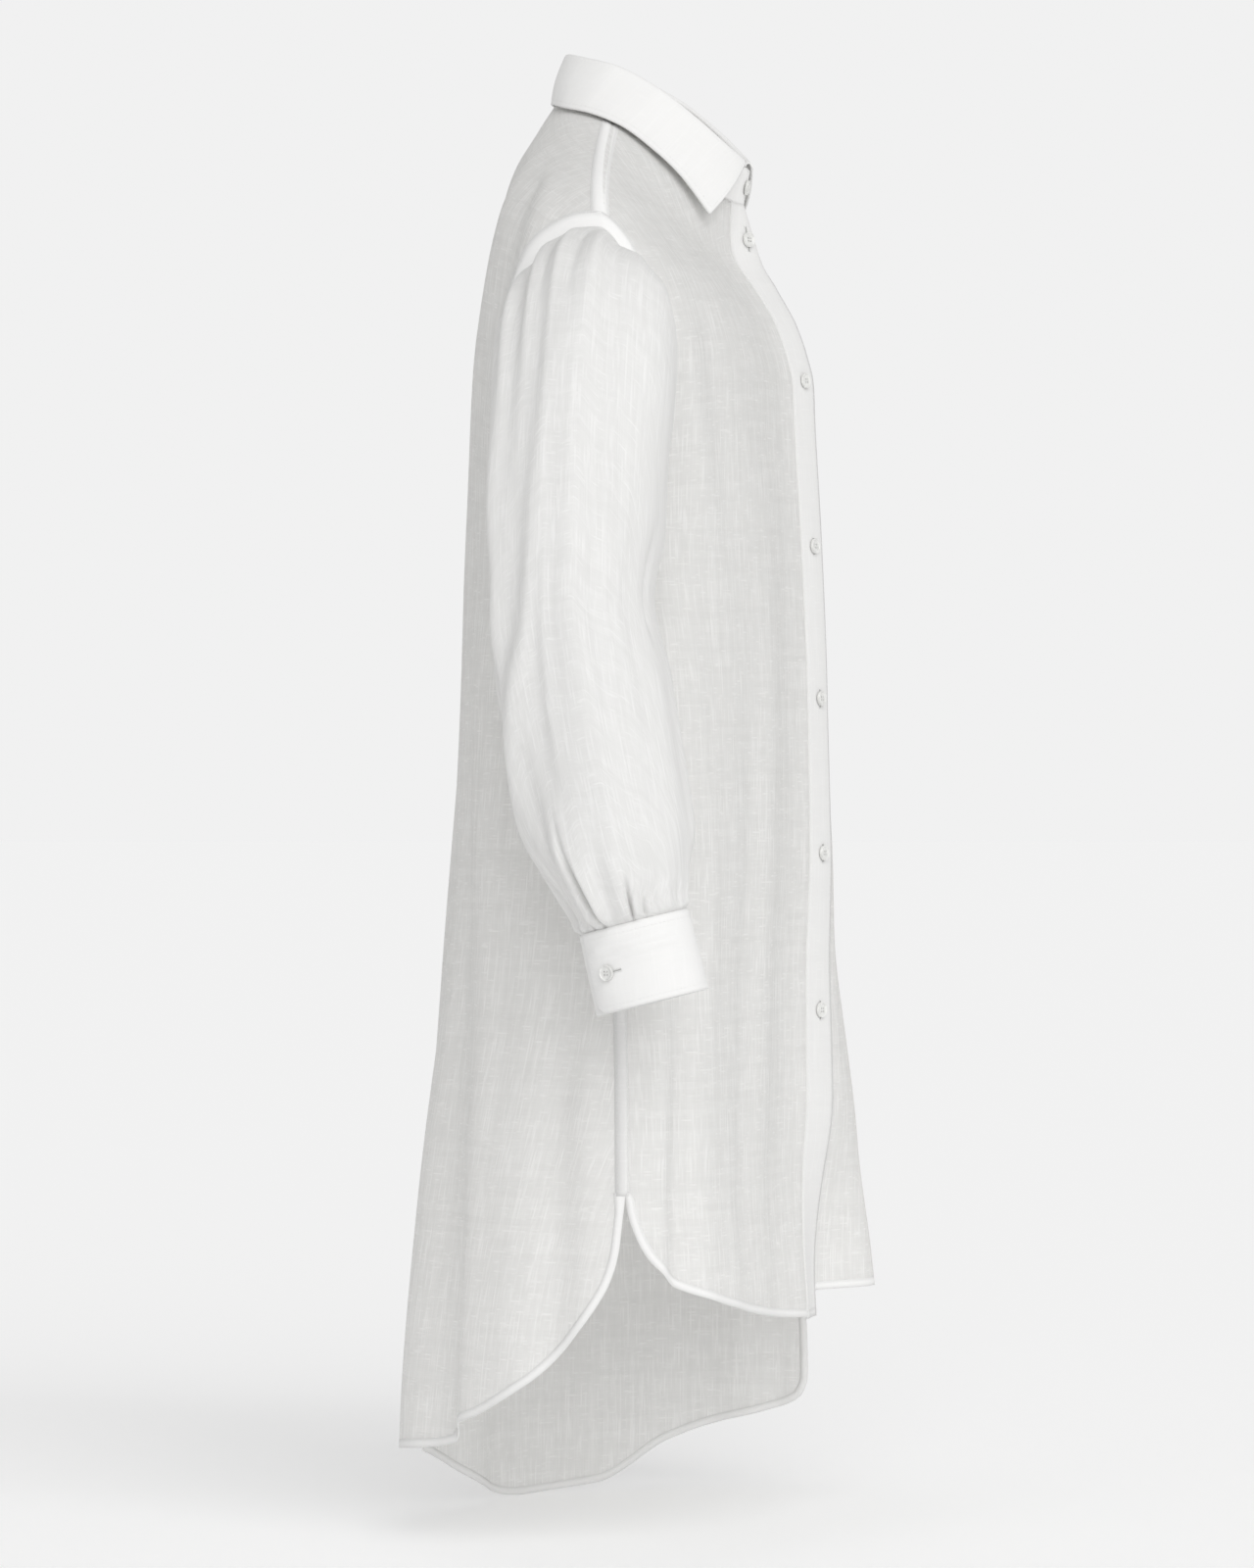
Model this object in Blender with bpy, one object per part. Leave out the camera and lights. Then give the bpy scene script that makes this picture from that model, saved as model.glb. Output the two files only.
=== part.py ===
# A long white shirt dress with a collar, a buttoned front band and cuffed sleeves, worn on an
# invisible wearer. Metres, Z up, the front faces -Y and the wearer's left is +X. The origin is
# the middle of the neck, at the height where the shoulder seams meet the collar.

import math

import bpy
import numpy as np

# Sizes that drive the garment.
CLOTH = 0.0016
SEAM_GAP = 0.0003
BAND_WIDTH = 0.030
BAND_CLOTH = 0.0020
BAND_UNDER = 0.0021
BAND_RECOVER = 0.020
BUTTON_WIDTH = 0.0115
BUTTON_THICK = 0.0022
BUTTON_LIFT = 0.0006
CUFF_HEIGHT = 0.058
CUFF_LAP_UNDER = 0.0024
CUFF_CORNER = 0.010
ROLL_RADIUS = 0.0022
ARMHOLE_TOP = -0.089
ARMHOLE_LOW = -0.310
ARMHOLE_FRONT = 0.040
ARMHOLE_BACK = 0.072
NECK_LEVEL = 0.005
SLIT_LEVEL = -0.760
SHOULDER_DROP_POWER = 1.15

# How finely each piece is cut into cells.
LOW_ROWS = 7
BODY_ROWS = 10
ARMHOLE_ROWS = 12
SHOULDER_ROWS = 5
FRONT_COLUMNS = 13
BACK_COLUMNS = 26
SLEEVE_ROWS = 23
FALL_ROWS = 6

WHITE_CLOTH = (0.78, 0.78, 0.77)
WHITE_DOUBLED = (0.88, 0.88, 0.87)
WHITE_BUTTON = (0.86, 0.86, 0.84)

# The body as tilted rings, from the hem up to the neck. Heights and depths in metres.
RING_NAMES = ("side_z", "front_z", "back_z", "half_width", "front_y", "back_y", "side_y",
              "square", "twist")
RINGS = (
    (-1.080, -1.080, -1.080, 0.272, 0.121, 0.164, -0.057, 2.10, -6.8),
    (-0.900, -0.900, -0.900, 0.263, 0.119, 0.160, -0.053, 2.10, -5.6),
    (-0.775, -0.775, -0.775, 0.252, 0.109, 0.158, -0.040, 2.15, -3.4),
    (-0.650, -0.650, -0.650, 0.241, 0.109, 0.152, -0.026, 2.20, -1.4),
    (-0.540, -0.540, -0.540, 0.233, 0.113, 0.146, -0.014, 2.25, -0.6),
    (-0.430, -0.430, -0.430, 0.226, 0.112, 0.140, -0.004, 2.30, 0.0),
    (-0.310, -0.318, -0.310, 0.221, 0.108, 0.134, 0.002, 2.40, 0.0),
    (-0.200, -0.226, -0.186, 0.2270, 0.103, 0.124, 0.002, 2.45, 0.0),
    (-0.150, -0.192, -0.134, 0.2305, 0.1015, 0.118, 0.000, 2.38, 0.0),
    (-0.120, -0.170, -0.103, 0.2290, 0.0965, 0.1145, -0.001, 2.30, 0.0),
    (-0.089, -0.146, -0.068, 0.2220, 0.0880, 0.1095, -0.001, 2.17, 0.0),
    (-0.070, -0.132, -0.048, 0.2080, 0.0805, 0.1065, 0.002, 2.00, 0.0),
    (-0.053, -0.120, -0.030, 0.1870, 0.0735, 0.1020, 0.006, 1.85, 0.0),
    (-0.021, -0.091, 0.001, 0.1250, 0.0605, 0.0875, 0.015, 1.68, 0.0),
    (0.005, -0.0550, 0.0290, 0.066, 0.0655, 0.0705, 0.0225, 1.75, 0.0),
)

# Where the hem hangs, by the angle round the body from centre front over the wearer's right.
HEM_NAMES = ("angle", "height")
HEM_RIGHT_FRONT = ((0, -0.9025), (15, -0.897), (30, -0.890), (45, -0.881), (60, -0.868),
                   (70, -0.856), (80, -0.840), (85, -0.824), (88, -0.810), (90, -0.795))
HEM_BACK = ((90, -0.795), (91.5, -0.818), (93, -0.833), (95, -0.850), (100, -0.882),
            (105, -0.901), (110, -0.918), (120, -0.943), (135, -0.973), (150, -0.996),
            (165, -1.004), (180, -1.020), (195, -1.046), (210, -1.061), (225, -1.055),
            (240, -1.024), (250, -1.010), (260, -1.000), (266, -0.991), (268.5, -0.976),
            (270, -0.835))
HEM_LEFT_FRONT = ((0, -0.8835), (45, -0.882), (60, -0.876), (70, -0.870), (80, -0.861),
                  (85, -0.852), (88, -0.843), (90, -0.835))

# The main folds of the body. Angles in degrees as above, heights in metres, rise outwards.
FOLD_NAMES = ("top_angle", "low_angle", "spread", "starts", "full", "fades", "ends", "rise")
BODY_FOLDS = (
    (-5.6, -2.6, 6.6, -0.038, -0.100, -0.730, -0.880, 0.0195),
    (5.5, 5.5, 5.0, -0.740, -0.900, -1.200, -1.300, 0.0060),
    (-6.0, -5.5, 4.5, -0.740, -0.900, -1.200, -1.300, -0.0080),
    (-17.0, -16.0, 8.0, -0.410, -0.860, -1.200, -1.300, 0.0385),
    (150.0, 147.0, 8.5, -0.560, -0.980, -1.200, -1.300, 0.0230),
    (-151.0, -146.0, 11.0, -0.480, -0.960, -1.200, -1.300, 0.0200),
    (184.0, 178.0, 9.0, -0.420, -0.800, -1.200, -1.300, 0.0090),
    (42.0, 38.0, 9.0, -0.640, -0.900, -1.200, -1.300, 0.0090),
    (118.0, 116.0, 9.0, -0.600, -0.900, -1.200, -1.300, 0.0100),
    (-47.0, -44.0, 9.0, -0.600, -0.900, -1.200, -1.300, 0.0110),
    (-118.0, -112.0, 10.0, -0.520, -0.900, -1.200, -1.300, 0.0120),
    (133.0, 124.0, 8.0, -0.330, -0.430, -0.500, -0.700, 0.0060),
    (-130.0, -122.0, 9.0, -0.320, -0.440, -0.520, -0.680, 0.0065),
    (62.0, 57.0, 8.0, -0.330, -0.430, -0.480, -0.680, 0.0050),
    (-58.0, -63.0, 8.0, -0.340, -0.440, -0.500, -0.700, 0.0055),
)

# The right sleeve as rings along its length. The left one is the same, turned over.
SLEEVE_NAMES = ("along", "out", "y", "z", "tilt", "lean", "half_out", "half_fore")
SLEEVE = (
    (0.00, 0.2265, 0.010, -0.1995, 86.0, 0.0, 0.1095, 0.0480),
    (0.08, 0.2526, 0.004, -0.2050, 77.9, 0.0, 0.1095, 0.0620),
    (0.16, 0.2746, 0.002, -0.2218, 66.6, 0.0, 0.1048, 0.0645),
    (0.26, 0.2949, 0.002, -0.2573, 49.5, 0.0, 0.0891, 0.0635),
    (0.38, 0.3040, 0.003, -0.3070, 25.1, 0.0, 0.0706, 0.0620),
    (0.50, 0.3079, 0.004, -0.3638, 7.4, 2.0, 0.0644, 0.0550),
    (0.62, 0.315, -0.005, -0.4300, 0.0, 7.0, 0.0620, 0.0610),
    (0.80, 0.319, -0.0265, -0.5330, -1.0, 11.0, 0.0570, 0.0570),
    (0.88, 0.320, -0.0360, -0.5680, -1.0, 13.0, 0.0480, 0.0465),
    (0.95, 0.320, -0.0415, -0.5880, -1.0, 14.0, 0.0380, 0.0410),
    (1.00, 0.320, -0.0435, -0.5970, 0.0, 14.2, 0.0300, 0.0400),
)
LEFT_HANGS_BACK = 0.012
CUFF_TOP = (0.320, -0.0437, -0.5976)
CUFF_LEAN = 14.2
CUFF_HALF_OUT = 0.0300
CUFF_HALF_FORE = 0.0400
CUFF_SPREAD = 0.0010
CUFF_LAP_START = -62.0
CUFF_LAP_SHOWN = 298.0
CUFF_LAP_END = 343.0
CUFF_LAP_RAMP = 30.0
CUFF_BUTTON_ANGLE = -32.0
CUFF_BUTTON_DOWN = 0.030

# Folds of a sleeve: angle 0 faces out, 90 faces forward. Along runs from armhole to cuff.
SLEEVE_FOLD_NAMES = ("top_angle", "low_angle", "spread", "starts", "full", "fades", "ends",
                     "rise")
SLEEVE_FOLDS = (
    (50.0, 58.0, 20.0, 0.02, 0.11, 0.20, 0.42, 0.0155),
    (-20.0, -78.0, 13.0, 0.16, 0.32, 0.76, 0.93, 0.0045),
    (8.0, -34.0, 12.0, 0.22, 0.50, 0.66, 0.82, -0.0045),
    (30.0, 10.0, 14.0, 0.40, 0.60, 0.80, 0.93, 0.0035),
    (70.0, 64.0, 13.0, 0.30, 0.52, 0.70, 0.93, 0.0035),
    (118.0, 112.0, 13.0, 0.20, 0.40, 0.80, 0.94, 0.0050),
    (160.0, 168.0, 14.0, 0.24, 0.50, 0.76, 0.93, -0.0050),
    (212.0, 226.0, 14.0, 0.18, 0.42, 0.78, 0.94, 0.0055),
    (-30.0, -38.0, 6.5, 0.72, 0.86, 0.93, 1.00, 0.0060),
    (-14.0, -19.0, 5.5, 0.74, 0.87, 0.93, 1.00, 0.0050),
    (6.0, 2.0, 6.0, 0.80, 0.88, 0.94, 1.00, 0.0040),
    (-62.0, -66.0, 7.0, 0.74, 0.86, 0.93, 1.00, -0.0045),
)

# The collar by the angle from centre front: its roll line and the outer edge of its fall.
COLLAR_NAMES = ("angle", "roll_out", "roll_y", "roll_z", "edge_out", "edge_y", "edge_z")
COLLAR = (
    (0, 0.0000, -0.0760, -0.0275, 0.0625, -0.0543, -0.0680),
    (4, 0.0050, -0.0755, -0.0265, 0.0625, -0.0543, -0.0680),
    (12, 0.0150, -0.0712, -0.0225, 0.0625, -0.0543, -0.0680),
    (24, 0.0290, -0.0650, -0.0165, 0.0715, -0.0333, -0.0385),
    (47, 0.0490, -0.0415, 0.0060, 0.0765, -0.0130, -0.0190),
    (75, 0.0590, -0.0110, 0.0300, 0.0785, 0.0118, -0.0008),
    (105, 0.0580, 0.0180, 0.0455, 0.0740, 0.0367, 0.0094),
    (133, 0.0460, 0.0450, 0.0535, 0.0605, 0.0585, 0.0150),
    (160, 0.0220, 0.0620, 0.0586, 0.0280, 0.0738, 0.0207),
    (180, 0.0000, 0.0660, 0.0595, 0.0000, 0.0775, 0.0220),
)
COLLAR_START = 12.0
STAND_FLAT = 4.0
STAND_LAP = 0.0155
STAND_ROWS = 2
STAND_DROP = 0.0030

# Button heights on the front band, from the top down.
BUTTON_HEIGHTS = (-0.0815, -0.1905, -0.3165, -0.4325, -0.550, -0.6695)


def table(rows, names):
    """The columns of a table, by name."""
    values = np.array(rows, dtype=float)
    return {name: values[:, index] for index, name in enumerate(names)}


def smooth(at, stations, values):
    """A curve through the values that never swings past them."""
    at = np.clip(at, stations[0], stations[-1])
    steps = np.diff(stations)
    rises = np.diff(values) / steps
    slopes = np.zeros(len(values))
    same = rises[:-1] * rises[1:] > 0
    weight_a = 2 * steps[1:] + steps[:-1]
    weight_b = steps[1:] + 2 * steps[:-1]
    safe = np.where(same, rises[:-1] * rises[1:], 1.0)
    middle = (weight_a + weight_b) * safe / (weight_a * rises[1:] + weight_b * rises[:-1] + 1e-30)
    slopes[1:-1] = np.where(same, middle, 0.0)
    slopes[0] = rises[0]
    slopes[-1] = rises[-1]
    cell = np.clip(np.searchsorted(stations, at, side="right") - 1, 0, len(steps) - 1)
    part = (at - stations[cell]) / steps[cell]
    low = values[cell]
    high = values[cell + 1]
    start = slopes[cell] * steps[cell]
    end = slopes[cell + 1] * steps[cell]
    cubic = (2 * part**3 - 3 * part**2 + 1) * low + (part**3 - 2 * part**2 + part) * start
    return cubic + (3 * part**2 - 2 * part**3) * high + (part**3 - part**2) * end


def ease(value):
    """A soft step from 0 to 1."""
    value = np.clip(value, 0.0, 1.0)
    return value * value * (3 - 2 * value)


def turn_between(angle, centre):
    """The signed turn from centre to angle, in degrees."""
    return (angle - centre + 180.0) % 360.0 - 180.0


BODY = table(RINGS, RING_NAMES)
RIGHT_HEM = table(HEM_RIGHT_FRONT, HEM_NAMES)
BACK_HEM = table(HEM_BACK, HEM_NAMES)
LEFT_HEM = table(HEM_LEFT_FRONT, HEM_NAMES)
ARM = table(SLEEVE, SLEEVE_NAMES)
NECK = table(COLLAR, COLLAR_NAMES)


def body_column(name, level):
    """A ring value at a level, which is the height of the ring at the side."""
    return smooth(level, BODY["side_z"], BODY[name])


def body(angle, level):
    """A point of the body cloth at an angle in degrees and a level."""
    angle = np.asarray(angle, dtype=float)
    level = np.asarray(level, dtype=float)
    angle, level = np.broadcast_arrays(angle, level)
    turned = np.radians(angle)
    across = np.sin(turned)
    along = np.cos(turned)
    power = body_column("square", level)
    reach = (np.abs(across) ** power + np.abs(along) ** power) ** (-1 / power)
    half = body_column("half_width", level)
    side_y = body_column("side_y", level)
    front_depth = side_y + body_column("front_y", level)
    back_depth = body_column("back_y", level) - side_y
    depth = np.where(along > 0, front_depth, back_depth)
    x = -half * reach * across
    y = side_y - depth * reach * along
    target = np.where(along > 0, body_column("front_z", level), body_column("back_z", level))
    z = level + (target - level) * np.abs(along) ** SHOULDER_DROP_POWER
    normal_x = x / half**2
    normal_y = (y - side_y) / depth**2
    size = np.hypot(normal_x, normal_y)
    lift = np.zeros_like(x)
    for top, low, spread, starts, full, fades, ends, rise in BODY_FOLDS:
        fall = np.clip((starts - z) / (starts - ends), 0.0, 1.0)
        centre = top + (low - top) * fall
        strength = ease((starts - z) / (starts - full)) * (1 - ease((fades - z) / (fades - ends)))
        lift = lift + rise * strength * np.exp(-0.5 * (turn_between(angle, centre) / spread) ** 2)
    x = x + lift * normal_x / size
    y = y + lift * normal_y / size
    twist = np.radians(body_column("twist", level))
    points = (x * np.cos(twist) - y * np.sin(twist), x * np.sin(twist) + y * np.cos(twist), z)
    return np.stack(points, axis=-1)


def normals_of(surface, first, second):
    """Unit normals of surface(first, second) by small steps, facing as d(first) x d(second)."""
    step_first = 0.02
    step_second = 1e-4
    along_first = surface(first + step_first, second) - surface(first - step_first, second)
    along_second = surface(first, second + step_second) - surface(first, second - step_second)
    normal = np.cross(along_first, along_second)
    return normal / np.linalg.norm(normal, axis=-1, keepdims=True)


def body_normals(angle, level):
    """Outward unit normals of the body cloth."""
    inside = np.clip(level, RINGS[0][0] + 2e-4, NECK_LEVEL - 2e-4)
    angle, inside = np.broadcast_arrays(np.asarray(angle, dtype=float), inside)
    return -normals_of(body, angle, inside)


def wall(points, normals, outside, inside, ring=False):
    """Points and faces of a closed wall round a sheet, and which faces are its rims."""
    rows, columns = points.shape[:2]
    outer = (points + normals * outside).reshape(-1, 3)
    inner = (points - normals * inside).reshape(-1, 3)
    count = rows * columns
    spans = columns if ring else columns - 1
    faces = []
    rims = []
    for row in range(rows - 1):
        for column in range(spans):
            after = (column + 1) % columns
            a = row * columns + column
            b = row * columns + after
            c = (row + 1) * columns + after
            d = (row + 1) * columns + column
            faces.extend(((a, b, c), (a, c, d)))
            faces.append((c + count, b + count, a + count))
            faces.append((d + count, c + count, a + count))
            rims.extend((False, False, False, False))
    for column in range(spans):
        after = (column + 1) % columns
        low_a = column
        low_b = after
        top_a = (rows - 1) * columns + column
        top_b = (rows - 1) * columns + after
        faces.append((low_b, low_a, low_a + count, low_b + count))
        faces.append((top_a, top_b, top_b + count, top_a + count))
        rims.extend((True, True))
    if not ring:
        for row in range(rows - 1):
            left_a = row * columns
            left_b = (row + 1) * columns
            right_a = left_a + columns - 1
            right_b = left_b + columns - 1
            faces.append((left_a, left_b, left_b + count, left_a + count))
            faces.append((right_b, right_a, right_a + count, right_b + count))
            rims.extend((True, True))
    return np.concatenate((outer, inner)), faces, rims


def volume_of(points, faces):
    """The signed volume inside the faces, positive when they face out."""
    total = 0.0
    for face in faces:
        for index in range(1, len(face) - 1):
            a = points[face[0]]
            b = points[face[index]]
            c = points[face[index + 1]]
            total += float(np.dot(a, np.cross(b, c))) / 6.0
    return total


def material(name, colour, roughness):
    made = bpy.data.materials.new(name)
    made.use_nodes = True
    shader = made.node_tree.nodes["Principled BSDF"]
    shader.inputs["Base Color"].default_value = (*colour, 1.0)
    shader.inputs["Roughness"].default_value = roughness
    made.diffuse_color = (*colour, 1.0)
    return made


def add_object(name, points, faces, rims, colour, roughness=0.85):
    """One named solid, its cloth faces smooth and its rims flat."""
    if volume_of(points, faces) < 0:
        faces = [tuple(reversed(face)) for face in faces]
    mesh = bpy.data.meshes.new(name)
    mesh.from_pydata([tuple(point) for point in points], [], faces)
    mesh.polygons.foreach_set("use_smooth", [not rim for rim in rims])
    mesh.update()
    mesh.materials.append(material(name + "_material", colour, roughness))
    made = bpy.data.objects.new(name, mesh)
    GARMENT.objects.link(made)
    return made


def add_sheet(name, points, normals, colour, thick=CLOTH, ring=False):
    points, faces, rims = wall(points, normals, thick / 2, thick / 2, ring)
    return add_object(name, points, faces, rims, colour)


def eased_steps(count, gather=0.55):
    """Fractions from 0 to 1 that lie closer together at both ends."""
    even = np.linspace(0.0, 1.0, count + 1)
    return even - gather * np.sin(2 * math.pi * even) / (2 * math.pi)


def upper_levels():
    """The levels of the rows above the slits, and the armhole turn of each (or none)."""
    waist = np.linspace(SLIT_LEVEL, ARMHOLE_LOW, BODY_ROWS + 1)[:-1]
    turns = np.linspace(180.0, 0.0, ARMHOLE_ROWS + 1)
    middle = (ARMHOLE_TOP + ARMHOLE_LOW) / 2
    reach = (ARMHOLE_TOP - ARMHOLE_LOW) / 2
    armhole = middle + reach * np.cos(np.radians(turns))
    shoulder = np.linspace(ARMHOLE_TOP, NECK_LEVEL, SHOULDER_ROWS + 1)[1:]
    levels = np.concatenate((waist, armhole, shoulder))
    open_turns = np.zeros_like(levels)
    open_turns[BODY_ROWS:BODY_ROWS + ARMHOLE_ROWS + 1] = turns
    return levels, open_turns


def armhole_angle(level, turn, opening, front):
    """How far from centre front (or centre back) the armhole edge lies, in degrees."""
    side_y = body_column("side_y", level)
    if front:
        depth = side_y + body_column("front_y", level)
    else:
        depth = body_column("back_y", level) - side_y
    power = body_column("square", level)
    share = opening * np.sin(np.radians(turn)) / depth
    return np.degrees(np.arctan2((1 - share**power) ** (1 / power), share))


def seam_turn(level):
    """Half the seam gap as an angle at the side of the body, in degrees."""
    step = np.linalg.norm(body(90.5, level) - body(89.5, level), axis=-1)
    return 0.5 * SEAM_GAP / step


def band_angle(level, offset):
    """The angle at which the front lies this far to the side of centre front, in degrees."""
    return np.degrees(np.arctan(offset / body_column("half_width", level)))


def hem_rows(hem_levels):
    """Levels of the low rows of each column, from its hem up to the slit level."""
    share = np.linspace(0.0, 1.0, LOW_ROWS + 1)[:-1, None]
    return hem_levels[None, :] + (SLIT_LEVEL - hem_levels[None, :]) * share


def panel_grid(inner, outer, pulled, weights, hem, mirror=False):
    """Angles and levels of a panel. Its low rows follow the hem. The armhole pulls the columns
    of the rows beside it inwards, those near the edge most."""
    share = eased_steps(len(weights) - 1)
    levels, _ = upper_levels()
    columns = len(weights) - 1
    low_angles = inner[0] + (outer[0] - inner[0]) * share
    hem_levels = smooth(low_angles, hem["angle"], hem["height"])
    low_levels = hem_rows(hem_levels)
    low = np.repeat(low_angles[None, :], LOW_ROWS, axis=0)
    up = inner[:, None] + (outer - inner)[:, None] * share - pulled[:, None] * weights
    angles = np.concatenate((low, up))
    up_levels = np.repeat(levels[:, None], columns + 1, axis=1)
    levels = np.concatenate((low_levels, up_levels))
    return (-angles if mirror else angles), levels


def front_grid(left):
    """Angles and levels of a front panel, from its band edge to its side edge."""
    levels, turns = upper_levels()
    inner = band_angle(levels, BAND_WIDTH / 2 + SEAM_GAP)
    outer = 90.0 - seam_turn(levels)
    beside = (turns > 0) & (turns < 180)
    hole = armhole_angle(levels, turns, ARMHOLE_FRONT, True)
    pulled = np.where(beside, np.maximum(outer - hole, 0.0), 0.0)
    weights = eased_steps(FRONT_COLUMNS) ** 2
    hem = LEFT_HEM if left else RIGHT_HEM
    return panel_grid(inner, outer, pulled, weights, hem, left)


def back_grid():
    """Angles and levels of the back, from the right side over centre back to the left."""
    levels, turns = upper_levels()
    inner = 90.0 + seam_turn(levels)
    beside = (turns > 0) & (turns < 180)
    hole = 180.0 - armhole_angle(levels, turns, ARMHOLE_BACK, False)
    pulled = np.where(beside, np.maximum(hole - inner, 0.0), 0.0)
    across = 2 * eased_steps(BACK_COLUMNS) - 1
    return panel_grid(inner, 360.0 - inner, pulled, across * np.abs(across), BACK_HEM)


def under_band(offset):
    """How far the left front lies under the right band, this far to the left of its middle."""
    return BAND_UNDER * (1 - ease((offset - BAND_WIDTH / 2) / BAND_RECOVER))


def build_panels():
    angles, levels = front_grid(False)
    add_sheet("front_right", body(angles, levels), body_normals(angles, levels), WHITE_CLOTH)
    angles, levels = back_grid()
    add_sheet("back", body(angles, levels), body_normals(angles, levels), WHITE_CLOTH)
    angles, levels = front_grid(True)
    normals = body_normals(angles, levels)
    offset = body_column("half_width", levels) * np.tan(np.radians(np.clip(-angles, 0, 60)))
    points = body(angles, levels) - normals * under_band(offset)[..., None]
    add_sheet("front_left", points, normals, WHITE_CLOTH)


def band_grid(hem_level):
    """Angles and levels of a band. Both bands share their rows, so that they lie flat together."""
    levels, _ = upper_levels()
    longest = HEM_RIGHT_FRONT[0][1]
    share = np.linspace(0.0, 1.0, LOW_ROWS + 1)[:-1]
    low = longest + (SLIT_LEVEL - longest) * share
    low = np.concatenate(([hem_level], low[low > hem_level + 0.004]))
    levels = np.concatenate((low, levels))
    held = np.maximum(levels, SLIT_LEVEL)
    offsets = np.linspace(1.0, -1.0, 5) * BAND_WIDTH / 2
    angles = band_angle(held[:, None], offsets[None, :])
    return angles, np.repeat(levels[:, None], len(offsets), axis=1)


def build_bands():
    angles, levels = band_grid(HEM_RIGHT_FRONT[0][1])
    points = body(angles, levels)
    add_sheet("band_right", points, body_normals(angles, levels), WHITE_DOUBLED, BAND_CLOTH)
    angles, levels = band_grid(HEM_LEFT_FRONT[0][1])
    normals = body_normals(angles, levels)
    add_sheet("band_left", body(angles, levels) - normals * BAND_UNDER, normals, WHITE_DOUBLED)


def armhole_ring(turns, side):
    """The armhole edge, moved into the hole so that the sleeve clears the body's edge."""
    turns = np.asarray(turns, dtype=float) % 360.0
    front = turns <= 180.0
    half_turn = np.where(front, turns, 360.0 - turns)
    middle = (ARMHOLE_TOP + ARMHOLE_LOW) / 2
    inset = SEAM_GAP + CLOTH / 2 + 0.0003
    reach = (ARMHOLE_TOP - ARMHOLE_LOW) / 2 - inset
    level = middle + reach * np.cos(np.radians(half_turn))
    hole_front = armhole_angle(level, half_turn, ARMHOLE_FRONT - inset, True)
    hole_back = 180.0 - armhole_angle(level, half_turn, ARMHOLE_BACK - inset, False)
    angle = np.where(front, hole_front, hole_back)
    return body(-side * angle, level)


def hang_back(along, side):
    """How far the left sleeve swings back of the right one, growing towards its cuff."""
    return LEFT_HANGS_BACK * ease((along - 0.1) / 0.9) * (side > 0)


def sleeve(turns, along, side):
    """A point of a sleeve. Turn 0 is its top or outer side, 90 its front."""
    turns, along = np.broadcast_arrays(np.asarray(turns, float), np.asarray(along, float))
    held = np.clip(along, 0.0, 1.0)
    value = {name: smooth(held, ARM["along"], ARM[name]) for name in SLEEVE_NAMES[1:]}
    tilt = np.radians(value["tilt"])
    lean = np.radians(value["lean"])
    lift = np.zeros_like(held)
    for top, low, spread, starts, full, fades, ends, rise in SLEEVE_FOLDS:
        centre = top + (low - top) * np.clip((held - starts) / (ends - starts), 0, 1)
        strength = ease((held - starts) / (full - starts)) * (1 - ease((held - fades) / (ends - fades)))
        lift = lift + rise * strength * np.exp(-0.5 * (turn_between(turns, centre) / spread) ** 2)
    outward = (value["half_out"] + lift) * np.cos(np.radians(turns))
    forward = (value["half_fore"] + lift) * np.sin(np.radians(turns))
    x = side * (value["out"] + outward * np.cos(tilt))
    y = value["y"] - forward * np.cos(lean) + hang_back(held, side)
    z = value["z"] + outward * np.sin(tilt) + forward * np.sin(lean)
    free = np.stack((x, y, z), axis=-1)
    blend = ease(held / 0.14)[..., None]
    return armhole_ring(turns, side) * (1 - blend) + free * blend


def build_sleeve(name, side):
    turns = np.linspace(0.0, 360.0, 2 * ARMHOLE_ROWS + 1)[:-1]
    even = np.linspace(0.0, 1.0, SLEEVE_ROWS + 1)
    along = even - 0.25 * np.sin(2 * math.pi * even) / (2 * math.pi)
    turns, along = np.meshgrid(turns, along)
    points = sleeve(turns, along, side)
    step = 1e-3
    around = sleeve(turns + 0.5, along, side) - sleeve(turns - 0.5, along, side)
    held = np.clip(along, step, 1 - step)
    down = sleeve(turns, held + step, side) - sleeve(turns, held - step, side)
    normals = np.cross(around, down)
    normals /= np.linalg.norm(normals, axis=-1, keepdims=True)
    middle = points.mean(axis=1, keepdims=True)
    if np.sum(normals * (points - middle)) < 0:
        normals = -normals
    add_sheet(name, points, normals, WHITE_CLOTH, ring=True)


def cuff_point(turns, down, under, side):
    """A point of a cuff at a turn round the wrist, this far down from its top edge."""
    turned = np.radians(turns)
    lean = math.radians(CUFF_LEAN)
    half_out = CUFF_HALF_OUT + CUFF_SPREAD * down / CUFF_HEIGHT - under
    half_fore = CUFF_HALF_FORE + CUFF_SPREAD * down / CUFF_HEIGHT - under
    forward = half_fore * np.sin(turned)
    x = side * (CUFF_TOP[0] + half_out * np.cos(turned) + 0.08 * down)
    y = CUFF_TOP[1] - forward * math.cos(lean) - down * math.sin(lean) + hang_back(1.0, side)
    z = CUFF_TOP[2] + forward * math.sin(lean) - down * math.cos(lean)
    return np.stack((x, y, z), axis=-1)


def cuff_normal(turns, side):
    turned = np.radians(turns)
    lean = math.radians(CUFF_LEAN)
    out = np.cos(turned) / CUFF_HALF_OUT
    fore = np.sin(turned) / CUFF_HALF_FORE
    size = np.hypot(out, fore)
    out, fore = out / size, fore / size
    return np.stack((side * out, -fore * math.cos(lean), fore * math.sin(lean)), axis=-1)


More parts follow.
